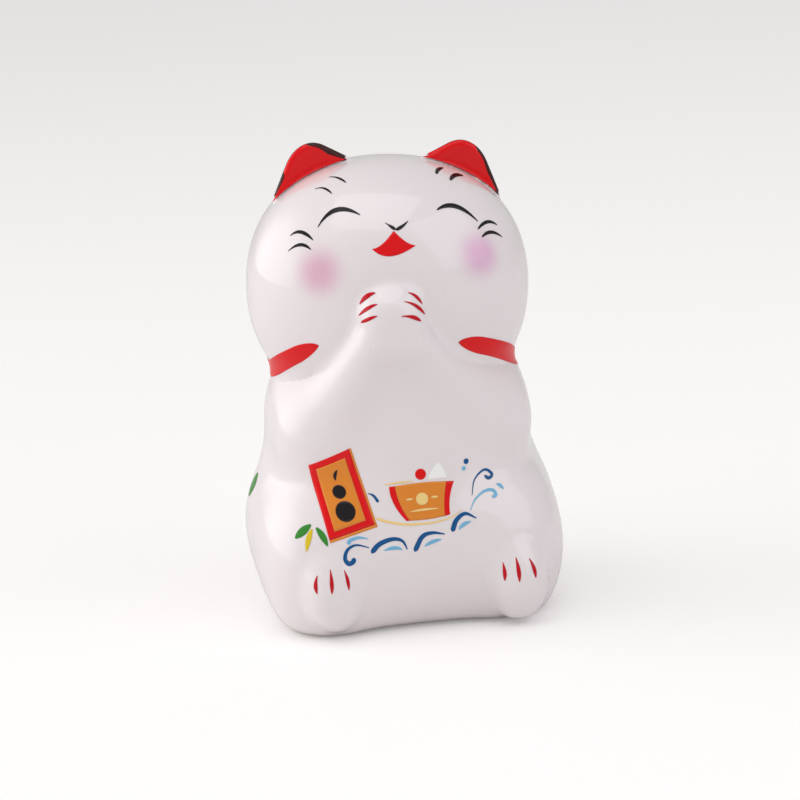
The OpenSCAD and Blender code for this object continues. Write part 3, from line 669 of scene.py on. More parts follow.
# %% Brows, eyes and whiskers
FACE_LINES = {
    "brow_marks_left": [([-9.5, 17.9], [-8.2, 17.9], [-7.1, 17.4], 0.28, 1.0),
                        ([-11.8, 16.3], [-10.5, 16.5], [-9.4, 15.9], 0.3, 1.0)],
    "brow_marks_right": [([7.1, 18.2], [7.5, 18.6], [8.5, 18.7], 0.5, -1.0),
                         ([9.1, 17.3], [10.2, 17.7], [11.6, 17.4], 0.5, -1.0)],
    "eye_line_left": [([-11.9, 11.3], [-9.0, 13.8], [-5.5, 13.2], 0.62, 0.3)],
    "eye_line_right": [([6.3, 13.6], [9.4, 13.9], [12.8, 11.5], 0.62, -0.3)],
    "whisker_marks_left": [([-16.0, 9.7], [-14.4, 10.4], [-12.7, 9.4], 0.55, 0.5),
                           ([-16.4, 7.5], [-14.6, 8.6], [-13.1, 8.0], 0.5, 0.5)],
    "whisker_marks_right": [([12.7, 10.4], [14.4, 11.2], [16.1, 10.5], 0.5, -0.5),
                            ([13.3, 9.2], [14.9, 9.7], [16.8, 8.7], 0.5, -0.5)],
    "nose_mark": [([-1.8, 12.1], [-1.0, 11.6], [-0.26, 11.1], 0.5, 1.0),
                  ([-0.24, 11.1], [0.8, 11.6], [1.7, 12.3], 0.5, -1.0)],
}
for node, lines in FACE_LINES.items():
    painted(node, "enamel_black", [stroke(on_face, *line) for line in lines])
print("black strokes on the face:", sum(len(lines) for lines in FACE_LINES.values()))

# %% Mouth
def mouth(left, peak, right, chin):
    """Columns from the lower lip, a bow, up to two sides that sweep to a point: the
    height above each corner grows as a power of the way to the peak."""
    t = np.linspace(0.01, 0.99, 41)
    low = bow(left, chin, right, t)
    on_left = low[:, 0] < peak[0]
    corner = np.where(on_left[:, None], left, right)
    way = np.clip((corner[:, 0] - low[:, 0]) / (corner[:, 0] - peak[0]), 0, 1)
    high = corner[:, 1] + (peak[1] - corner[:, 1]) * way**1.7
    high = np.maximum(high, low[:, 1] + 0.05)
    s = np.linspace(0, 1, 13)[None]
    z = low[:, 1:] + (high - low[:, 1])[:, None] * s
    return film(on_face, low[:, :1] + 0 * s, z, np.minimum(1, 0.4 + 3 * np.minimum(s, 1 - s)))


open_mouth = mouth([-4.0, 8.4], [-0.6, 11.0], [2.7, 8.8], [-1.2, 7.3])
painted("mouth_mark", "enamel_red", [open_mouth], "mouth_paint")
print("mouth:", len(pieces["mouth_mark"].data.polygons), "faces")

# %% [markdown]
# ## Fingers and toes
#
# Three short red strokes to each paw and foot, a little unequal as a quick hand
# leaves them.

# %% Finger and toe marks
LIMB_LINES = {
    "finger_marks_left": [([-7.1, 53.0], [-6.0, 54.2], [-4.7, 54.7], 0.55, 0.0),
                          ([-7.4, 51.3], [-6.1, 52.6], [-4.7, 53.2], 0.45, 0.0),
                          ([-7.2, 50.3], [-6.0, 51.1], [-4.9, 51.5], 0.5, -0.4)],
    "finger_marks_right": [([0.2, 54.4], [1.4, 53.7], [2.3, 52.4], 0.45, 0.4),
                           ([-0.6, 53.3], [1.2, 52.4], [2.6, 50.8], 0.5, 0.5),
                           ([-1.3, 51.2], [0.4, 50.9], [1.8, 50.0], 0.6, 0.6)],
    "toe_marks_left": [([-16.7, 11.7], [-17.1, 10.3], [-17.0, 8.9], 0.55, 0.4),
                       ([-14.7, 12.6], [-14.7, 10.7], [-14.8, 8.9], 0.6, 0.4),
                       ([-12.6, 12.3], [-12.2, 10.8], [-12.1, 9.2], 0.55, 0.4)],
    "toe_marks_right": [([12.2, 10.9], [12.3, 9.5], [12.2, 8.1], 0.55, 0.4),
                        ([14.2, 11.6], [14.4, 9.8], [14.4, 7.9], 0.65, 0.4),
                        ([16.3, 11.2], [16.9, 9.7], [17.1, 8.1], 0.6, 0.4)],
}
for node, lines in LIMB_LINES.items():
    painted(node, "enamel_red", [stroke(on_body, *line) for line in lines])
print("red strokes:", sum(len(lines) for lines in LIMB_LINES.values()))

# %% [markdown]
# ## The collar
#
# One red band round the nape. Towards the front it climbs, and it ends in a short
# rounded tip beside each forearm, so its middle line is a height that depends on
# the compass.

# %% Collar
COLLAR_UP, COLLAR_HALF, COLLAR_FALL = 39.6, 1.4, 0.8


def collar(left_tip, right_tip, rows=181, tip_rows=8):
    """Rows run round the back from the right tip to the left one, columns across
    the band. Its rise is a power of the cosine of the angle from the face."""
    a = np.radians(np.linspace(right_tip - 360, -left_tip, rows))
    row = np.arange(rows)
    right = row < rows // 2
    turn = np.where(right, a + 2 * np.pi, -a)
    rise = np.where(right, 7.0, 9.6) * np.maximum(np.cos(turn), 0) ** 1.5 - COLLAR_FALL * np.sin(a)
    ends = np.clip(np.minimum(row, rows - 1 - row) / tip_rows, 0, 1)
    half = COLLAR_HALF * np.maximum(0.05, np.sin(np.pi / 2 * ends) ** 0.6)
    s = np.linspace(-1, 1, 13)[None]
    z = COLLAR_UP + rise[:, None] + half[:, None] * s
    return film_around(a[:, None], z, np.minimum(1, 0.4 + 4 * (1 - np.abs(s))))


painted("collar_band", "enamel_red", [collar(left_tip=41, right_tip=24)], "collar_paint")
print("collar:", *millimetres("collar_band"))

# %% [markdown]
# ## The belly picture
#
# A water-slide transfer: a hanging plaque, and a treasure boat under sail on small
# waves. Its fields are four-cornered, so a point of a field is a share across and
# a share up, mixed between the corners. Later colours lie on earlier ones.

# %% Plaque and sail
PLAQUE = np.array([[-14.3, -4.3], [-16.2, 6.6], [-10.0, 9.2], [-7.2, -2.4]])
SAIL = [([-2.3, -2.2], [-4.0, 0.5], [-4.5, 3.15]), ([-1.8, -2.2], [-3.1, 0.5], [-3.6, 3.2]),
        ([3.75, -2.05], [3.95, 0.7], [4.5, 3.15]), ([4.6, -1.9], [4.8, 0.6], [5.7, 3.0])]


def within(corners, s, t):
    """Mix of four corners: foot left, top left, top right, foot right."""
    s, t = np.asarray(s)[..., None], np.asarray(t)[..., None]
    return (1 - t) * ((1 - s) * corners[0] + s * corners[3]) + t * ((1 - s) * corners[1] + s * corners[2])


def shares(across, up):
    """Shares across and up of a grid of that many cells, and a thickness that is
    less at its very edge."""
    s, t = np.meshgrid(np.linspace(0, 1, across + 1), np.linspace(0, 1, up + 1), indexing="ij")
    edge = np.minimum(np.minimum(s, 1 - s), np.minimum(t, 1 - t))
    return s, t, np.minimum(1, 0.5 + 10 * edge)


def field(s0, s1, t0, t1, layer=0, across=16, up=24):
    """A grid over part of the plaque, from share s0 to s1 across and t0 to t1 up."""
    s, t, bulge = shares(across, up)
    q = within(PLAQUE, s0 + (s1 - s0) * s, t0 + (t1 - t0) * t)
    return film(on_picture, q[..., 0], q[..., 1], bulge, layer)


def cloth(left, right, gap=0.0, bend=0.0, across=8, up=16):
    """The patch between two edges of the sail, each a bow from foot to top, drawn in
    by a gap, with its foot and its top bulging as half a sine wave."""
    s, t, bulge = shares(across, up)
    a, b = bow(*left, t) + [gap, 0], bow(*right, t) - [gap, 0]
    q = a + (b - a) * s[..., None]
    return film(on_picture, q[..., 0], q[..., 1] + np.sin(np.pi * s) * bend * (3 * t - 1), bulge)


painted("plaque_border", "enamel_red", [field(0, 1, 0, 1)])
orange_edges = [field(1.002, 1.045, 0, 1, 0, 2, 24), field(0, 1.045, -0.036, -0.002, 0, 16, 2)]
painted("plaque_field", "enamel_orange", [field(0.15, 0.85, 0.09, 0.91, 1)] + orange_edges)
painted("sail_field", "enamel_orange", [cloth(SAIL[1], SAIL[2], 0.01, 0.13, 24)])
painted("sail_bands", "enamel_red", [cloth(SAIL[0], SAIL[1]), cloth(SAIL[2], SAIL[3])])
print("plaque and sail:", len([n for n in pieces if n.startswith(("plaque", "sail"))]), "pieces")

# %% Gourd, coin, and cargo with a painted highlight
def mound(left, right):
    """The patch between a left and a right bow, from their feet to their tops,
    thickest along its middle."""
    s, t, _ = shares(16, 16)
    a, b = bow(*left, t), bow(*right, t)
    q = a + (b - a) * s[..., None]
    return film(on_picture, q[..., 0], q[..., 1], 0.4 + 0.6 * np.sin(np.pi * s) * np.minimum(1, 4 * t))


stalk = [within(PLAQUE, s, t) for s, t in ((0.5, 0.68), (0.52, 0.75), (0.6, 0.8))]
gourd = [spot(on_picture, within(PLAQUE, 0.5, up), across, 2) for up, across in ((0.28, 3.0), (0.53, 2.0))]
gourd.append(stroke(on_picture, *stalk, 0.5, 0, 2))
painted("plaque_motif", "enamel_black", gourd, "plaque_gourd_paint")
BARS = [([-2.1, 1.0], [-1.6, 1.05], [-1.0, 1.05]), ([1.8, 1.05], [2.4, 1.05], [2.9, 1.0]),
        ([-1.7, -0.85], [0.6, -0.7], [2.9, -0.75])]
coin = [spot(on_picture, [0.4, 0.95], 1.9, 1)] + [stroke(on_picture, *bar, 0.35, 0, 1) for bar in BARS]
painted("sail_motif", "enamel_cream", coin, "sail_coin_paint")
# The white heap over the boat is drawn whiter than the glaze: in part printed cargo, in part a painted
# highlight on the belly.
painted("cargo_mound", "enamel_white", [
    mound(([1.5, 3.75], [2.1, 4.9], [3.25, 6.15]), ([4.6, 3.65], [4.3, 4.9], [3.5, 6.1]))])
painted("cargo_ball", "enamel_red", [spot(on_picture, [0.5, 4.7], 1.7)])
print("gourd:", len(gourd), "sheets, coin:", len(coin))

# %% Hull, waves, spray and leaves
SLOTS = {"hull_line": "enamel_cream", "waves_light": "enamel_sky", "waves_dark": "enamel_blue",
         "spray_dark": "enamel_blue", "spray_light": "enamel_sky", "leaves_green": "enamel_green",
         "leaf_yellow": "enamel_yellow"}
STROKES = {
    "hull_line": [([-5.2, 3.5], [-2.9, 3.68], [-0.6, 3.75], 0.28)],
    "waves_light": [([-6.1, -6.5], [-4.5, -6.2], [-3.3, -6.6], 0.6),
                    ([0.2, -6.4], [1.5, -5.8], [2.9, -5.6], 0.6),
                    ([5.8, -4.4], [6.6, -3.7], [7.8, -3.4], 0.6)],
    "spray_light": [([12.6, 1.4], [13.2, 1.1], [13.7, 0.5], 0.5)],
    "leaves_green": [([-19.3, -4.1], [-18.1, -3.0], [-16.8, -2.0], 1.05),
                     ([-16.1, -2.4], [-15.3, -3.6], [-14.7, -5.1], 1.0)],
    "leaf_yellow": [([-17.9, -5.9], [-17.4, -4.1], [-16.7, -2.6], 0.8)],
}
CURLS = {
    "hull_line": [([[-7.0, -1.4], [-5.0, -2.15], [-2.2, -2.75],
                    [1.4, -2.85], [4.4, -2.45], [6.5, -1.5]], 0.4)],
    "waves_dark": [([[-10.75, -7.15], [-11.05, -7.75], [-11.7, -7.9], [-12.2, -7.3], [-12.05, -6.4],
                     [-11.4, -5.6], [-10.2, -5.25], [-8.4, -5.8]], 0.75),
                   ([[-8.1, -6.7], [-6.7, -5.4], [-4.7, -4.8], [-3.2, -5.2], [-2.5, -6.6]], 0.8),
                   ([[-1.4, -7.1], [-0.1, -4.9], [1.5, -4.4], [3.5, -4.8]], 0.8),
                   ([[4.7, -4.6], [5.5, -2.9], [7.0, -2.1], [8.7, -3.0]], 0.8),
                   ([[-6.3, 0.9], [-6.95, 1.9], [-7.75, 2.3]], 0.45)],
    "waves_light": [([[-11.5, -5.05], [-11.2, -4.5], [-9.8, -4.15], [-8.4, -4.45]], 0.6)],
    "spray_dark": [([[10.8, 2.95], [11.5, 2.45], [12.1, 2.9], [11.3, 3.7],
                     [10.3, 3.6], [9.0, 2.5], [8.4, 0.4]], 0.5)],
    "spray_light": [([[11.6, -0.3], [12.3, -0.05], [11.8, 0.7], [10.4, 0.7], [8.8, -0.3], [7.9, -1.7]], 0.5)],
}
DROPS = {"spray_dark": [([8.0, 5.6], 0.85)], "spray_light": [([7.5, 4.6], 0.65)]}
for node, slot_name in SLOTS.items():
    parts = []
    for draw, table in ((stroke, STROKES), (curl, CURLS), (spot, DROPS)):
        parts += [draw(on_picture, *line) for line in table.get(node, [])]
    painted(node, slot_name, parts)
print("picture lines:", len(SLOTS), "pieces")

# %% Side leaf
def side_leaf():
    """A leaf of the side picture: a lens in compass angle and height."""
    t = np.linspace(0, 1, 25)[:, None]
    s = np.linspace(-1, 1, 9)[None]
    wide = 3.2 * np.sin(np.pi * (0.04 + 0.92 * t)) ** 0.8
    return film_around(np.radians(-96 - s * wide + 3 * t), 19.2 + 4 * t + 0 * s, np.sqrt(1 - 0.9 * s**2))


painted("side_leaf", "enamel_green", [side_leaf()])
print("side leaf:", *millimetres("side_leaf"))

# %% [markdown]
# ## Ear colours
#
# The dished front of each ear is red, up to and over its rim. Dark brown covers
# the back; on the left ear it also comes forward over the inner part of the rim,
# and on the right ear over the outer part. Both follow one path that crosses the
# front, turns round the rim and runs down the back. How far inside the outline the
# red stops is a list of angles, 0 outside to 180 inside, and one of millimetres.

# %% Paths over an ear
HEART = np.array([0, 1.6, 0.4])
OVER_RIM, ROLLED = 0.2, 0.7
FOOT_LIFT = 0.19


def ear_path(a, t):
    """A point beside the ear for outline angle a and way t in millimetres: below 0
    it lies on the front, that far inside the rim, and above 0 on the dome behind,
    which a turn of 11.5 degrees a millimetre follows."""
    x, z = ear_outline(a, np.minimum(t, 0))
    turn = np.radians(11.5) * np.maximum(t, 0)
    return np.stack([x * np.cos(turn), EAR_DEEP * np.sin(turn) + 0 * x, z * np.cos(turn)], -1)


def ear_film(side, points, base, thick):
    """Throws points out from the heart of the ear on to its skin, as a closed film."""
    start = from_ear(HEART + 0 * points, side)
    ray = from_ear(points, side) - start
    ray /= np.linalg.norm(ray, axis=-1, keepdims=True)
    low = reach(start, ray, base, far=10.0)
    high = reach(start, ray, base + thick, far=10.0)
    return closed_sheet(low, high) if side > 0 else closed_sheet(low[::-1], high[::-1])


def off_head(e, side):
    """Distance to the head's own egg from a point given in an ear's frame."""
    return egg(to_head(from_ear(e, side)), [0, 0, 0], HEAD_SIZE, HEAD_POWER)


print("ear path, rim at the tip:", np.round(ear_path(np.pi / 2, 0.0), 2))

# %% Ear red
def ear_red(side, inset):
    """Columns across the front, each from the head's skin up to the rim less an
    inset that may differ along it. Where the inset is under OVER_RIM, more rows
    carry the red over the rounded rim. The film stands FOOT_LIFT higher at its foot,
    which fades over a millimetre, since the shell's net is coarse in that crease."""
    a = np.radians(np.linspace(176, 4, 61))
    less = np.interp(np.degrees(a), *inset)
    x, top = ear_outline(a, -less)
    foot, far = np.full_like(x, -3.0), top.copy()
    for _ in range(24):
        middle = (foot + far) / 2
        inside = off_head(np.stack([x, 0 * x, middle], -1), side) < 0.15
        foot, far = np.where(inside, middle, foot), np.where(inside, far, middle)
    kept = top - foot > 0.1
    a, less, x, top, foot = (v[kept, None] for v in (a, less, x, top, foot))
    s = np.linspace(0, 1, 25)[None]
    front = np.stack([x + 0 * s, 0 * x + 0 * s, foot + (top - foot) * s], -1)
    over = np.where(less < OVER_RIM, ROLLED, 0.0) * np.linspace(0.2, 1, 5)
    points = np.concatenate([front, ear_path(a, over - less * (over == 0))], 1)
    base = FILM + FOOT_LIFT * np.exp(-((points[..., 2] - foot) ** 2))
    s = np.linspace(0, 1, 30)
    return ear_film(side, points, base, PAINT * np.minimum(1, 0.35 + 8 * np.minimum(s, 1 - s)))


INSETS = {"left": ([0, 25, 45, 110, 124, 150, 180], [0.4, 0.4, 0.1, 0.1, 0.6, 1.1, 1.3]),
          "right": ([0, 25, 60, 88, 94, 171, 178], [1.1, 0.8, 0.35, 0.2, 0.1, 0.1, 0.5])}
for side, word in SIDES:
    node = "ear_red_" + word
    painted(node, "enamel_red", [ear_red(side, INSETS[word])])
print("ear red:", *millimetres("ear_red_left"))

# %% Ear brown
def ear_brown(side, inset):
    """Rows go round the outline. Each starts where the red ends, on the front or just
    behind the rim, but never under the head's skin, and runs down the back until
    it nears that skin again."""
    a = np.radians(np.linspace(173, 4, 75))
    less = np.interp(np.degrees(a), *inset)
    first = np.where(less < OVER_RIM, 0.5, -less - 0.08)
    first = np.convolve(np.pad(first, 2, mode="edge"), np.ones(5) / 5, mode="valid")
    ways = np.linspace(-1.5, 1.5, 61)
    free = off_head(ear_path(a[:, None], ways[None]), side) > 0.12
    first = np.maximum(first, ways[np.argmax(free, 1)])
    ways = np.linspace(0.3, 7.2, 70)
    free = off_head(ear_path(a[:, None], ways[None]), side) > 0.35
    last = np.where(free.all(1), ways[-1], ways[np.argmin(free, 1)])
    kept = last - first > 0.6
    a, first, last = a[kept, None], first[kept, None], last[kept, None]
    s = np.linspace(0, 1, 41)[None]
    t = first + (last - first) * s**1.5
    base = FILM + PAINT * np.clip(0.9 - t, 0, 1) * (first < 0.4)
    return ear_film(side, ear_path(a, t), base, PAINT * np.minimum(1, 0.3 + 8 * np.minimum(s, 1 - s)))


for side, word in SIDES:
    node = "ear_dark_" + word
    painted(node, "enamel_brown", [ear_brown(side, INSETS[word])])
print("ear brown:", *millimetres("ear_dark_left"))

# %% [markdown]
# ## Small tools for materials
#
# Colours are written as they look on a screen and turned into the linear values
# that Blender works in. `add` puts one node in a tree and links or sets its
# sockets, and a few helpers around it keep each recipe to a few lines.

# %% Node helpers
def paint(red, green, blue):
    """Screen colour from 0 to 255 to a linear colour with alpha 1."""
    c = np.array([red, green, blue]) / 255
    linear = np.where(c <= 0.04045, c / 12.92, ((c + 0.055) / 1.055) ** 2.4)
    return (*linear.tolist(), 1.0)


def feed(tree, socket, value):
    """Links an output socket to an input, or sets the input to a plain value."""
    if isinstance(value, bpy.types.NodeSocket):
        tree.links.new(value, socket)
    else:
        socket.default_value = value


def add(tree, kind, sockets=None, **settings):
    """Adds a node; sockets maps an input's name or number to a value or to an
    output socket, and settings are the node's own properties."""
    node = tree.nodes.new("ShaderNode" + kind)
    for name, value in settings.items():
        setattr(node, name, value)
    for name, value in (sockets or {}).items():
        feed(tree, node.inputs[name], value)
    return node


def new_group(name, inputs, outputs):
    """A shader node group with named sockets: inputs map to (type, value)."""
    tree = bpy.data.node_groups.new(name, "ShaderNodeTree")
    for label, (kind, value) in inputs.items():
        socket = tree.interface.new_socket(label, in_out="INPUT", socket_type="NodeSocket" + kind)
        socket.default_value = value
    for label, kind in outputs.items():
        tree.interface.new_socket(label, in_out="OUTPUT", socket_type="NodeSocket" + kind)
    return tree, tree.nodes.new("NodeGroupInput").outputs, tree.nodes.new("NodeGroupOutput").inputs


def use_group(tree, group, **sockets):
    """Puts a node group in a material and returns what it gives."""
    return add(tree, "Group", sockets, node_tree=group).outputs


def fresh_material(name):
    """An empty node material with a shader and an output."""
    material = bpy.data.materials.new(name)
    material.use_nodes = True
    tree = material.node_tree
    tree.nodes.clear()
    shader = add(tree, "BsdfPrincipled")
    add(tree, "OutputMaterial", {"Surface": shader.outputs[0]})
    return material, tree, shader


def set_shader(tree, shader, **sockets):
    """Feeds a shader's sockets, whose names are written with underscores."""
    for name, value in sockets.items():
        feed(tree, shader.inputs[name.replace("_", " ")], value)


print("pale grey, linear:", np.round(paint(238, 236, 235)[:3], 3))

# %% Common nodes
def math(tree, operation, a, b=0.0, c=0.0, **settings):
    """One Math node's output."""
    return add(tree, "Math", {0: a, 1: b, 2: c}, operation=operation, **settings).outputs[0]


def mix_colour(tree, factor, a, b):
    """A colour from a to b; each may be a value or a socket."""
    return add(tree, "Mix", {0: factor, 6: a, 7: b}, data_type="RGBA").outputs[2]


def ramp(tree, value, low, high, start, end, kind="LINEAR"):
    """A value that goes from start to end while another goes from low to high."""
    sockets = {"Value": value, "From Min": low, "From Max": high, "To Min": start, "To Max": end}
    return add(tree, "MapRange", sockets, interpolation_type=kind).outputs["Result"]


def place_in(tree):
    """Where a point lies on the object, in metres."""
    return add(tree, "TexCoord").outputs["Object"]


def noise(tree, at, scale, detail=2.0):
    """A cloudy value; scale is in clouds per unit of the place."""
    return add(tree, "TexNoise", {"Vector": at, "Scale": scale, "Detail": detail}).outputs["Fac"]


print("common nodes:", [helper.__name__ for helper in (math, mix_colour, ramp, place_in, noise)])

# %% [markdown]
# ## Effects that several finishes share
#
# *Pooled glaze* is the faint waviness and the cloudy tint of a dipped glaze.
# *Airbrush* is a soft round spray whose edge breaks into fine dots. *Brushed
# colour* thins a paint film towards its edges and along streaks of the brush.

# %% Pooled glaze
def pooled_glaze():
    """Clouds of tint from one slow noise, and a normal from a slow wave and a fine
    orange peel; scales are in cycles per metre of the object. Specks are the few
    cells of a Voronoi pattern whose random red is high, near their middles."""
    outputs = {"Cloud": "Float", "Speck": "Float", "Normal": "Vector"}
    tree, give, out = new_group("pooled glaze", {"Wave": ("Float", 0.2), "Peel": ("Float", 0.05)}, outputs)
    at = place_in(tree)
    wave, peel = noise(tree, at, 160.0, 1.0), noise(tree, at, 1500.0, 1.0)
    rise = math(tree, "MULTIPLY_ADD", peel, 0.02, wave)
    bump = add(tree, "Bump", {"Strength": give["Wave"], "Distance": 0.0002, "Height": rise})
    fine = add(tree, "Bump", {"Strength": give["Peel"], "Distance": 0.00002, "Height": peel,
                              "Normal": bump.outputs["Normal"]})
    dots = add(tree, "TexVoronoi", {"Vector": at, "Scale": 330.0})
    chance = add(tree, "SeparateColor", {"Color": dots.outputs["Color"]}).outputs["Red"]
    speck = ramp(tree, dots.outputs["Distance"], 0.03, 0.06, 1.0, 0.0)
    feed(tree, out["Cloud"], noise(tree, at, 70.0, 3.0))
    feed(tree, out["Speck"], math(tree, "MULTIPLY", speck, math(tree, "GREATER_THAN", chance, 0.93)))
    feed(tree, out["Normal"], fine.outputs["Normal"])
    return tree


POOLED = pooled_glaze()
print("group:", POOLED.name, [s.name for s in POOLED.interface.items_tree])

# %% Airbrush
def airbrush():
    """A mask that falls from the centre as a smooth step of distance over radius,
    times a fine noise, so that it looks dotted."""
    inputs = {"Centre": ("Vector", (0, 0, 0)), "Radius": ("Float", 0.003), "Density": ("Float", 0.5)}
    tree, give, out = new_group("airbrush", inputs, {"Mask": "Float"})
    at = place_in(tree)
    off = add(tree, "VectorMath", {0: at, 1: give["Centre"]}, operation="DISTANCE").outputs["Value"]
    soft = ramp(tree, math(tree, "DIVIDE", off, give["Radius"]), 0.0, 1.0, 1.0, 0.0, "SMOOTHERSTEP")
    dotted = math(tree, "MULTIPLY_ADD", noise(tree, at, 5200.0), 0.5, 0.75)
    feed(tree, out["Mask"], math(tree, "MULTIPLY", math(tree, "MULTIPLY", soft, dotted), give["Density"]))
    return tree


AIRBRUSH = airbrush()
print("group:", AIRBRUSH.name)

# %% Brushed colour
def brushed():
    """How thick a film lies, from 0 thin to 1 full: less towards the sides of the
    sheet, where v is near 0 or 1, along streaks stretched down the stroke, and in
    blots."""
    inputs = {"Edge": ("Float", 0.3), "Streak": ("Float", 0.4), "Fine": ("Float", 14.0)}
    tree, give, out = new_group("brushed colour", inputs, {"Depth": "Float", "Normal": "Vector"})
    flow = add(tree, "SeparateXYZ", {"Vector": add(tree, "UVMap", uv_map="flow").outputs["UV"]}).outputs
    off_middle = math(tree, "ABSOLUTE", math(tree, "SUBTRACT", flow["Y"], 0.5))
    side = math(tree, "MULTIPLY", math(tree, "SUBTRACT", 0.5, off_middle), 2.0)
    rim = ramp(tree, side, 0.0, give["Edge"], 0.0, 1.0, "SMOOTHSTEP")
    along, across = math(tree, "MULTIPLY", flow["X"], 3.0), math(tree, "MULTIPLY", flow["Y"], give["Fine"])
    long_way = add(tree, "CombineXYZ", {"X": along, "Y": across}).outputs["Vector"]
    streak, blot = noise(tree, long_way, 1.0, 3.0), noise(tree, place_in(tree), 620.0, 3.0)
    cover = math(tree, "MULTIPLY_ADD", blot, 0.6, math(tree, "MULTIPLY", streak, 0.5))
    loss = math(tree, "MULTIPLY", math(tree, "SUBTRACT", 1.15, cover), give["Streak"])
    full = math(tree, "MULTIPLY_ADD", rim, 0.55, 1.0)
    rise = math(tree, "ADD", streak, blot)
    bump = add(tree, "Bump", {"Strength": 0.25, "Distance": 0.00003, "Height": rise})
    feed(tree, out["Depth"], math(tree, "SUBTRACT", full, loss, use_clamp=True))
    feed(tree, out["Normal"], bump.outputs["Normal"])
    return tree


BRUSHED = brushed()
print("group:", BRUSHED.name)

# %% [markdown]
# ## White glaze
#
# A milky body under a clear glassy coat: a fairly soft base with a full coat whose
# roughness is nearly nothing. The underside is wiped before firing, so it stays
# bare and matt, and the blush is sprayed on before the last firing.

# %% White glaze and bare foot
BARE_UP, BARE_RAGGED, BARE_SOFT = 0.0001, 0.0006, 0.00015


def white_glaze(cheeks):
    """Glaze colour from clouds and specks, then the two cheeks, then the bare foot
    below a ragged line a few tenths of a millimetre above the table."""
    material, tree, shader = fresh_material("white_glaze")
    pool = use_group(tree, POOLED, Wave=0.10, Peel=0.3)
    colour = mix_colour(tree, pool["Cloud"], paint(241, 233, 234), paint(235, 226, 229))
    colour = mix_colour(tree, math(tree, "MULTIPLY", pool["Speck"], 0.2), colour, paint(150, 135, 120))
    for centre, radius, density, tint in cheeks:
        spray = use_group(tree, AIRBRUSH, Centre=centre, Radius=radius, Density=density)
        colour = mix_colour(tree, spray["Mask"], colour, tint)
    at = place_in(tree)
    height = add(tree, "SeparateXYZ", {"Vector": at}).outputs["Z"]
    line = math(tree, "MULTIPLY_ADD", noise(tree, at, 420.0), BARE_RAGGED, BARE_UP)
    bare = ramp(tree, math(tree, "SUBTRACT", height, line), -BARE_SOFT, BARE_SOFT, 1.0, 0.0)
    biscuit = mix_colour(tree, noise(tree, at, 900.0, 4.0), paint(222, 212, 198), paint(203, 190, 172))
    set_shader(tree, shader, Base_Color=mix_colour(tree, bare, colour, biscuit),
               Roughness=math(tree, "MULTIPLY_ADD", bare, 0.45, 0.35), Normal=pool["Normal"],
               Coat_Weight=math(tree, "SUBTRACT", 1.0, bare), Coat_Normal=pool["Normal"],
               Coat_Roughness=0.03, Coat_IOR=1.5)
    return material


def skin_point(x, z):
    """Where a point of the face drawing lies, in metres."""
    return tuple((on_face(np.array(x), np.array(z), 0.0) * MM).tolist())


CHEEKS = [(skin_point(-12.0, 4.8), 0.0058, 0.68, paint(222, 150, 186)),
          (skin_point(12.8, 6.8), 0.0056, 0.62, paint(222, 136, 200))]
shell.data.materials.clear()
shell.data.materials.append(white_glaze(CHEEKS))
print("cheeks at, mm:", [np.round(np.array(c[0]) / MM, 1).tolist() for c in CHEEKS])

# %% [markdown]
# ## Fired colours
#
# Each is coloured glass: full where it lies thick, and lighter where it lies thin
# and the white shows through. The transfer's flat colours vary less than the
# brushed ones. The claw marks are a deeper crimson than the other reds. Their coat
# is a little weaker than the glaze's, so its reflections don't wash the colours out.

# %% Enamel materials
def enamel(name, full, thin, edge, streak, fine=14.0):
    """Coloured glass whose screen colour runs from thin to full with the film's
    depth; edge, streak and fine go to the brushed colour."""
    material, tree, shader = fresh_material(name)
    lie = use_group(tree, BRUSHED, Edge=edge, Streak=streak, Fine=fine)
    colour = mix_colour(tree, lie["Depth"], paint(*thin), paint(*full))
    set_shader(tree, shader, Base_Color=colour, Normal=lie["Normal"], Roughness=0.3,
               Specular_IOR_Level=0.0, Coat_Weight=0.55, Coat_Roughness=0.04)
    return material


RECIPES = {
    "enamel_red": ("red_enamel", (226, 10, 18), (232, 62, 66), 0.2, 0.3),
    "enamel_black": ("black_enamel", (26, 22, 26), (92, 80, 84), 0.5, 0.4),
    "enamel_brown": ("brown_enamel", (62, 24, 22), (130, 70, 66), 0.3, 0.3),
    "enamel_orange": ("orange_transfer", (228, 138, 50), (238, 172, 92), 0.08, 0.35, 30.0),
    "enamel_cream": ("cream_transfer", (246, 214, 140), (248, 230, 190), 0.1, 0.3),
    # White: the cargo heap's print and a painted highlight on the belly in one film.
    "enamel_white": ("white_heap_and_painted_highlight", (250, 248, 248), (240, 226, 228), 0.2, 0.2),
    "enamel_blue": ("blue_transfer", (10, 84, 142), (70, 136, 186), 0.5, 0.3),
    "enamel_sky": ("sky_transfer", (120, 186, 224), (176, 214, 236), 0.5, 0.3),
    "enamel_green": ("green_transfer", (58, 138, 52), (150, 186, 90), 0.5, 0.3),
    "enamel_yellow": ("yellow_transfer", (224, 196, 44), (236, 220, 130), 0.5, 0.3),
}
ENAMELS = {slot_name: enamel(*recipe) for slot_name, recipe in RECIPES.items()}
crimson = enamel("crimson_enamel", (196, 8, 30), (220, 60, 78), 0.35, 0.3)
for node, piece in pieces.items():
    claw = node.startswith(("finger", "toe"))
    piece.data.materials.clear()
    piece.data.materials.append(crimson if claw else ENAMELS[piece["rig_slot"]])
print("enamels:", len(ENAMELS) + 1, "on", len(pieces), "pieces")

# %% [markdown]
# ## Floor, light and camera
#
# A pale floor, and a pale world that brightens softly towards the left, which is
# what the glaze mirrors there. Three soft windows of light add the shading. The
# camera is a long lens, a little to the left and above.

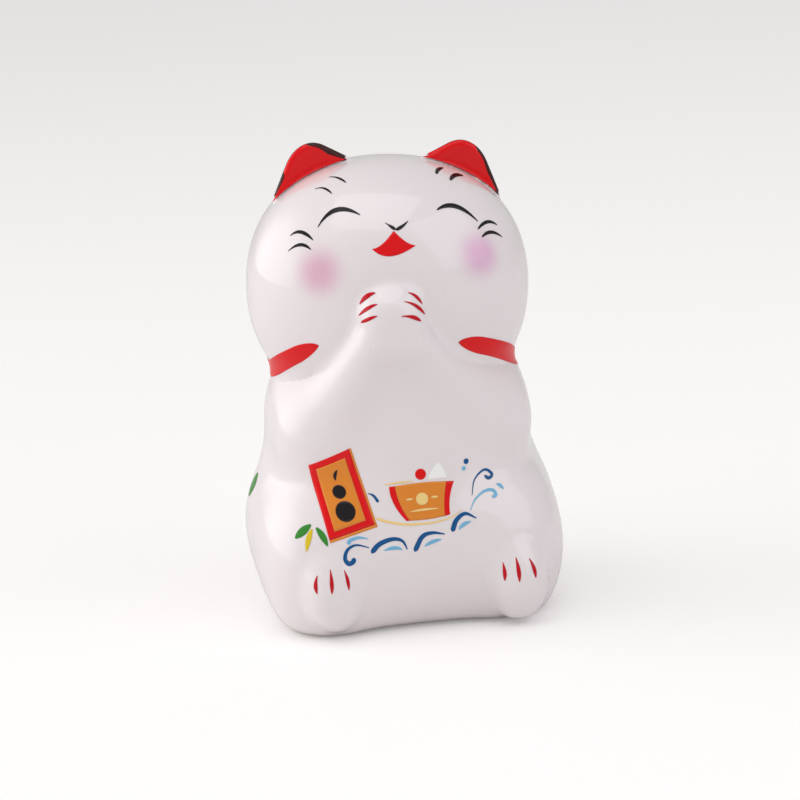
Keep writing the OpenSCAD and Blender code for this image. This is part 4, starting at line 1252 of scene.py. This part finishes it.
# %% Floor and world
def disc(name, radius, rings=24, columns=72):
    """A flat round floor of rings round a middle point, in metres."""
    away = np.linspace(0.02, 1, rings)[:, None] * radius
    a = np.radians(np.arange(0, 360, 360 / columns))
    points = np.stack([away * np.cos(a), away * np.sin(a), 0 * away + 0 * a], -1).reshape(-1, 3)
    points = np.concatenate([points, [[0, 0, 0]]])
    fan = [[(j + 1) % columns, rings * columns, j] for j in range(columns)]
    return make_mesh(name, points / MM, quads(rings, columns, ring=True)[:, ::-1].tolist() + fan)


floor = disc("floor", 4.0)
floor_material, tree, shader = fresh_material("pale_floor")
stone = mix_colour(tree, noise(tree, place_in(tree), 9.0), paint(243, 241, 240), paint(240, 239, 239))
set_shader(tree, shader, Base_Color=stone, Roughness=0.6)
seen = add(tree, "LightPath").outputs["Is Camera Ray"]
glow = add(tree, "Emission", {"Color": (1, 0.995, 0.99, 1), "Strength": math(tree, "MULTIPLY", seen, 0.21)})
both = add(tree, "AddShader", {0: shader.outputs[0], 1: glow.outputs[0]})
feed(tree, tree.nodes["Material Output"].inputs["Surface"], both.outputs[0])
floor.data.materials.append(floor_material)

world = bpy.data.worlds.new("studio")
bpy.context.scene.world = world
world.use_nodes = True
tree = world.node_tree
background = tree.nodes["Background"]
background.inputs["Color"].default_value = (1.0, 0.99, 0.985, 1)
looking = add(tree, "TexCoord").outputs["Generated"]
way = add(tree, "VectorMath", {0: looking, 1: (-0.93, 0.35, 0.1)}, operation="DOT_PRODUCT").outputs["Value"]
feed(tree, background.inputs["Strength"], ramp(tree, way, 0.72, 0.98, 0.52, 1.9, "SMOOTHSTEP"))
print("floor radius 4 m, world with", len(tree.nodes), "nodes")

# %% Lamps
def window(name, place, aim, width, height, power, tint=(1, 1, 1), glossy=True):
    """A rectangular area lamp that looks at a point; lengths in metres, watts. Its
    mirror image on the glaze can be left out, where the world shows one instead."""
    lamp = bpy.data.lights.new(name, "AREA")
    lamp.shape, lamp.size, lamp.size_y, lamp.energy, lamp.color = "RECTANGLE", width, height, power, tint
    holder = add_object(name, lamp)
    holder.location = place
    holder.rotation_euler = (Vector(aim) - Vector(place)).to_track_quat("-Z", "Y").to_euler()
    holder.visible_glossy = glossy


window("window_left", (-0.75, -0.05, 0.42), (0, 0, 0.04), 0.9, 0.8, 1.78, (1, 0.975, 0.95), glossy=False)
window("window_right", (0.6, -0.5, 0.55), (0, 0, 0.04), 0.8, 0.8, 1.6, (0.97, 0.96, 1))
window("window_top", (-0.1, -0.25, 0.9), (0, 0, 0.05), 0.7, 0.7, 1.6)

# %% Camera
AZIMUTH, ELEVATION, ROLL = np.radians([-8.0, 12.5, 3.7])
TARGET = np.array([0, 0, 37.0]) * MM
DISTANCE, LENS = 0.4628, 130.5
back = compass(AZIMUTH, ELEVATION)
camera_data = bpy.data.cameras.new("camera")
camera_data.sensor_width = 36
camera_data.lens = LENS
camera_data.shift_x, camera_data.shift_y = 0.0085, -0.029
camera_data.clip_start = 0.01
camera = add_object("camera", camera_data)
camera.location = TARGET + DISTANCE * back
facing = Vector(-back).to_track_quat("-Z", "Y").to_matrix().to_4x4()
camera.rotation_euler = (facing @ Matrix.Rotation(-ROLL, 4, "Z")).to_euler()
bpy.context.scene.camera = camera
bpy.context.scene.view_settings.view_transform = "Standard"
print("lens:", camera_data.lens, "mm at", DISTANCE, "m")
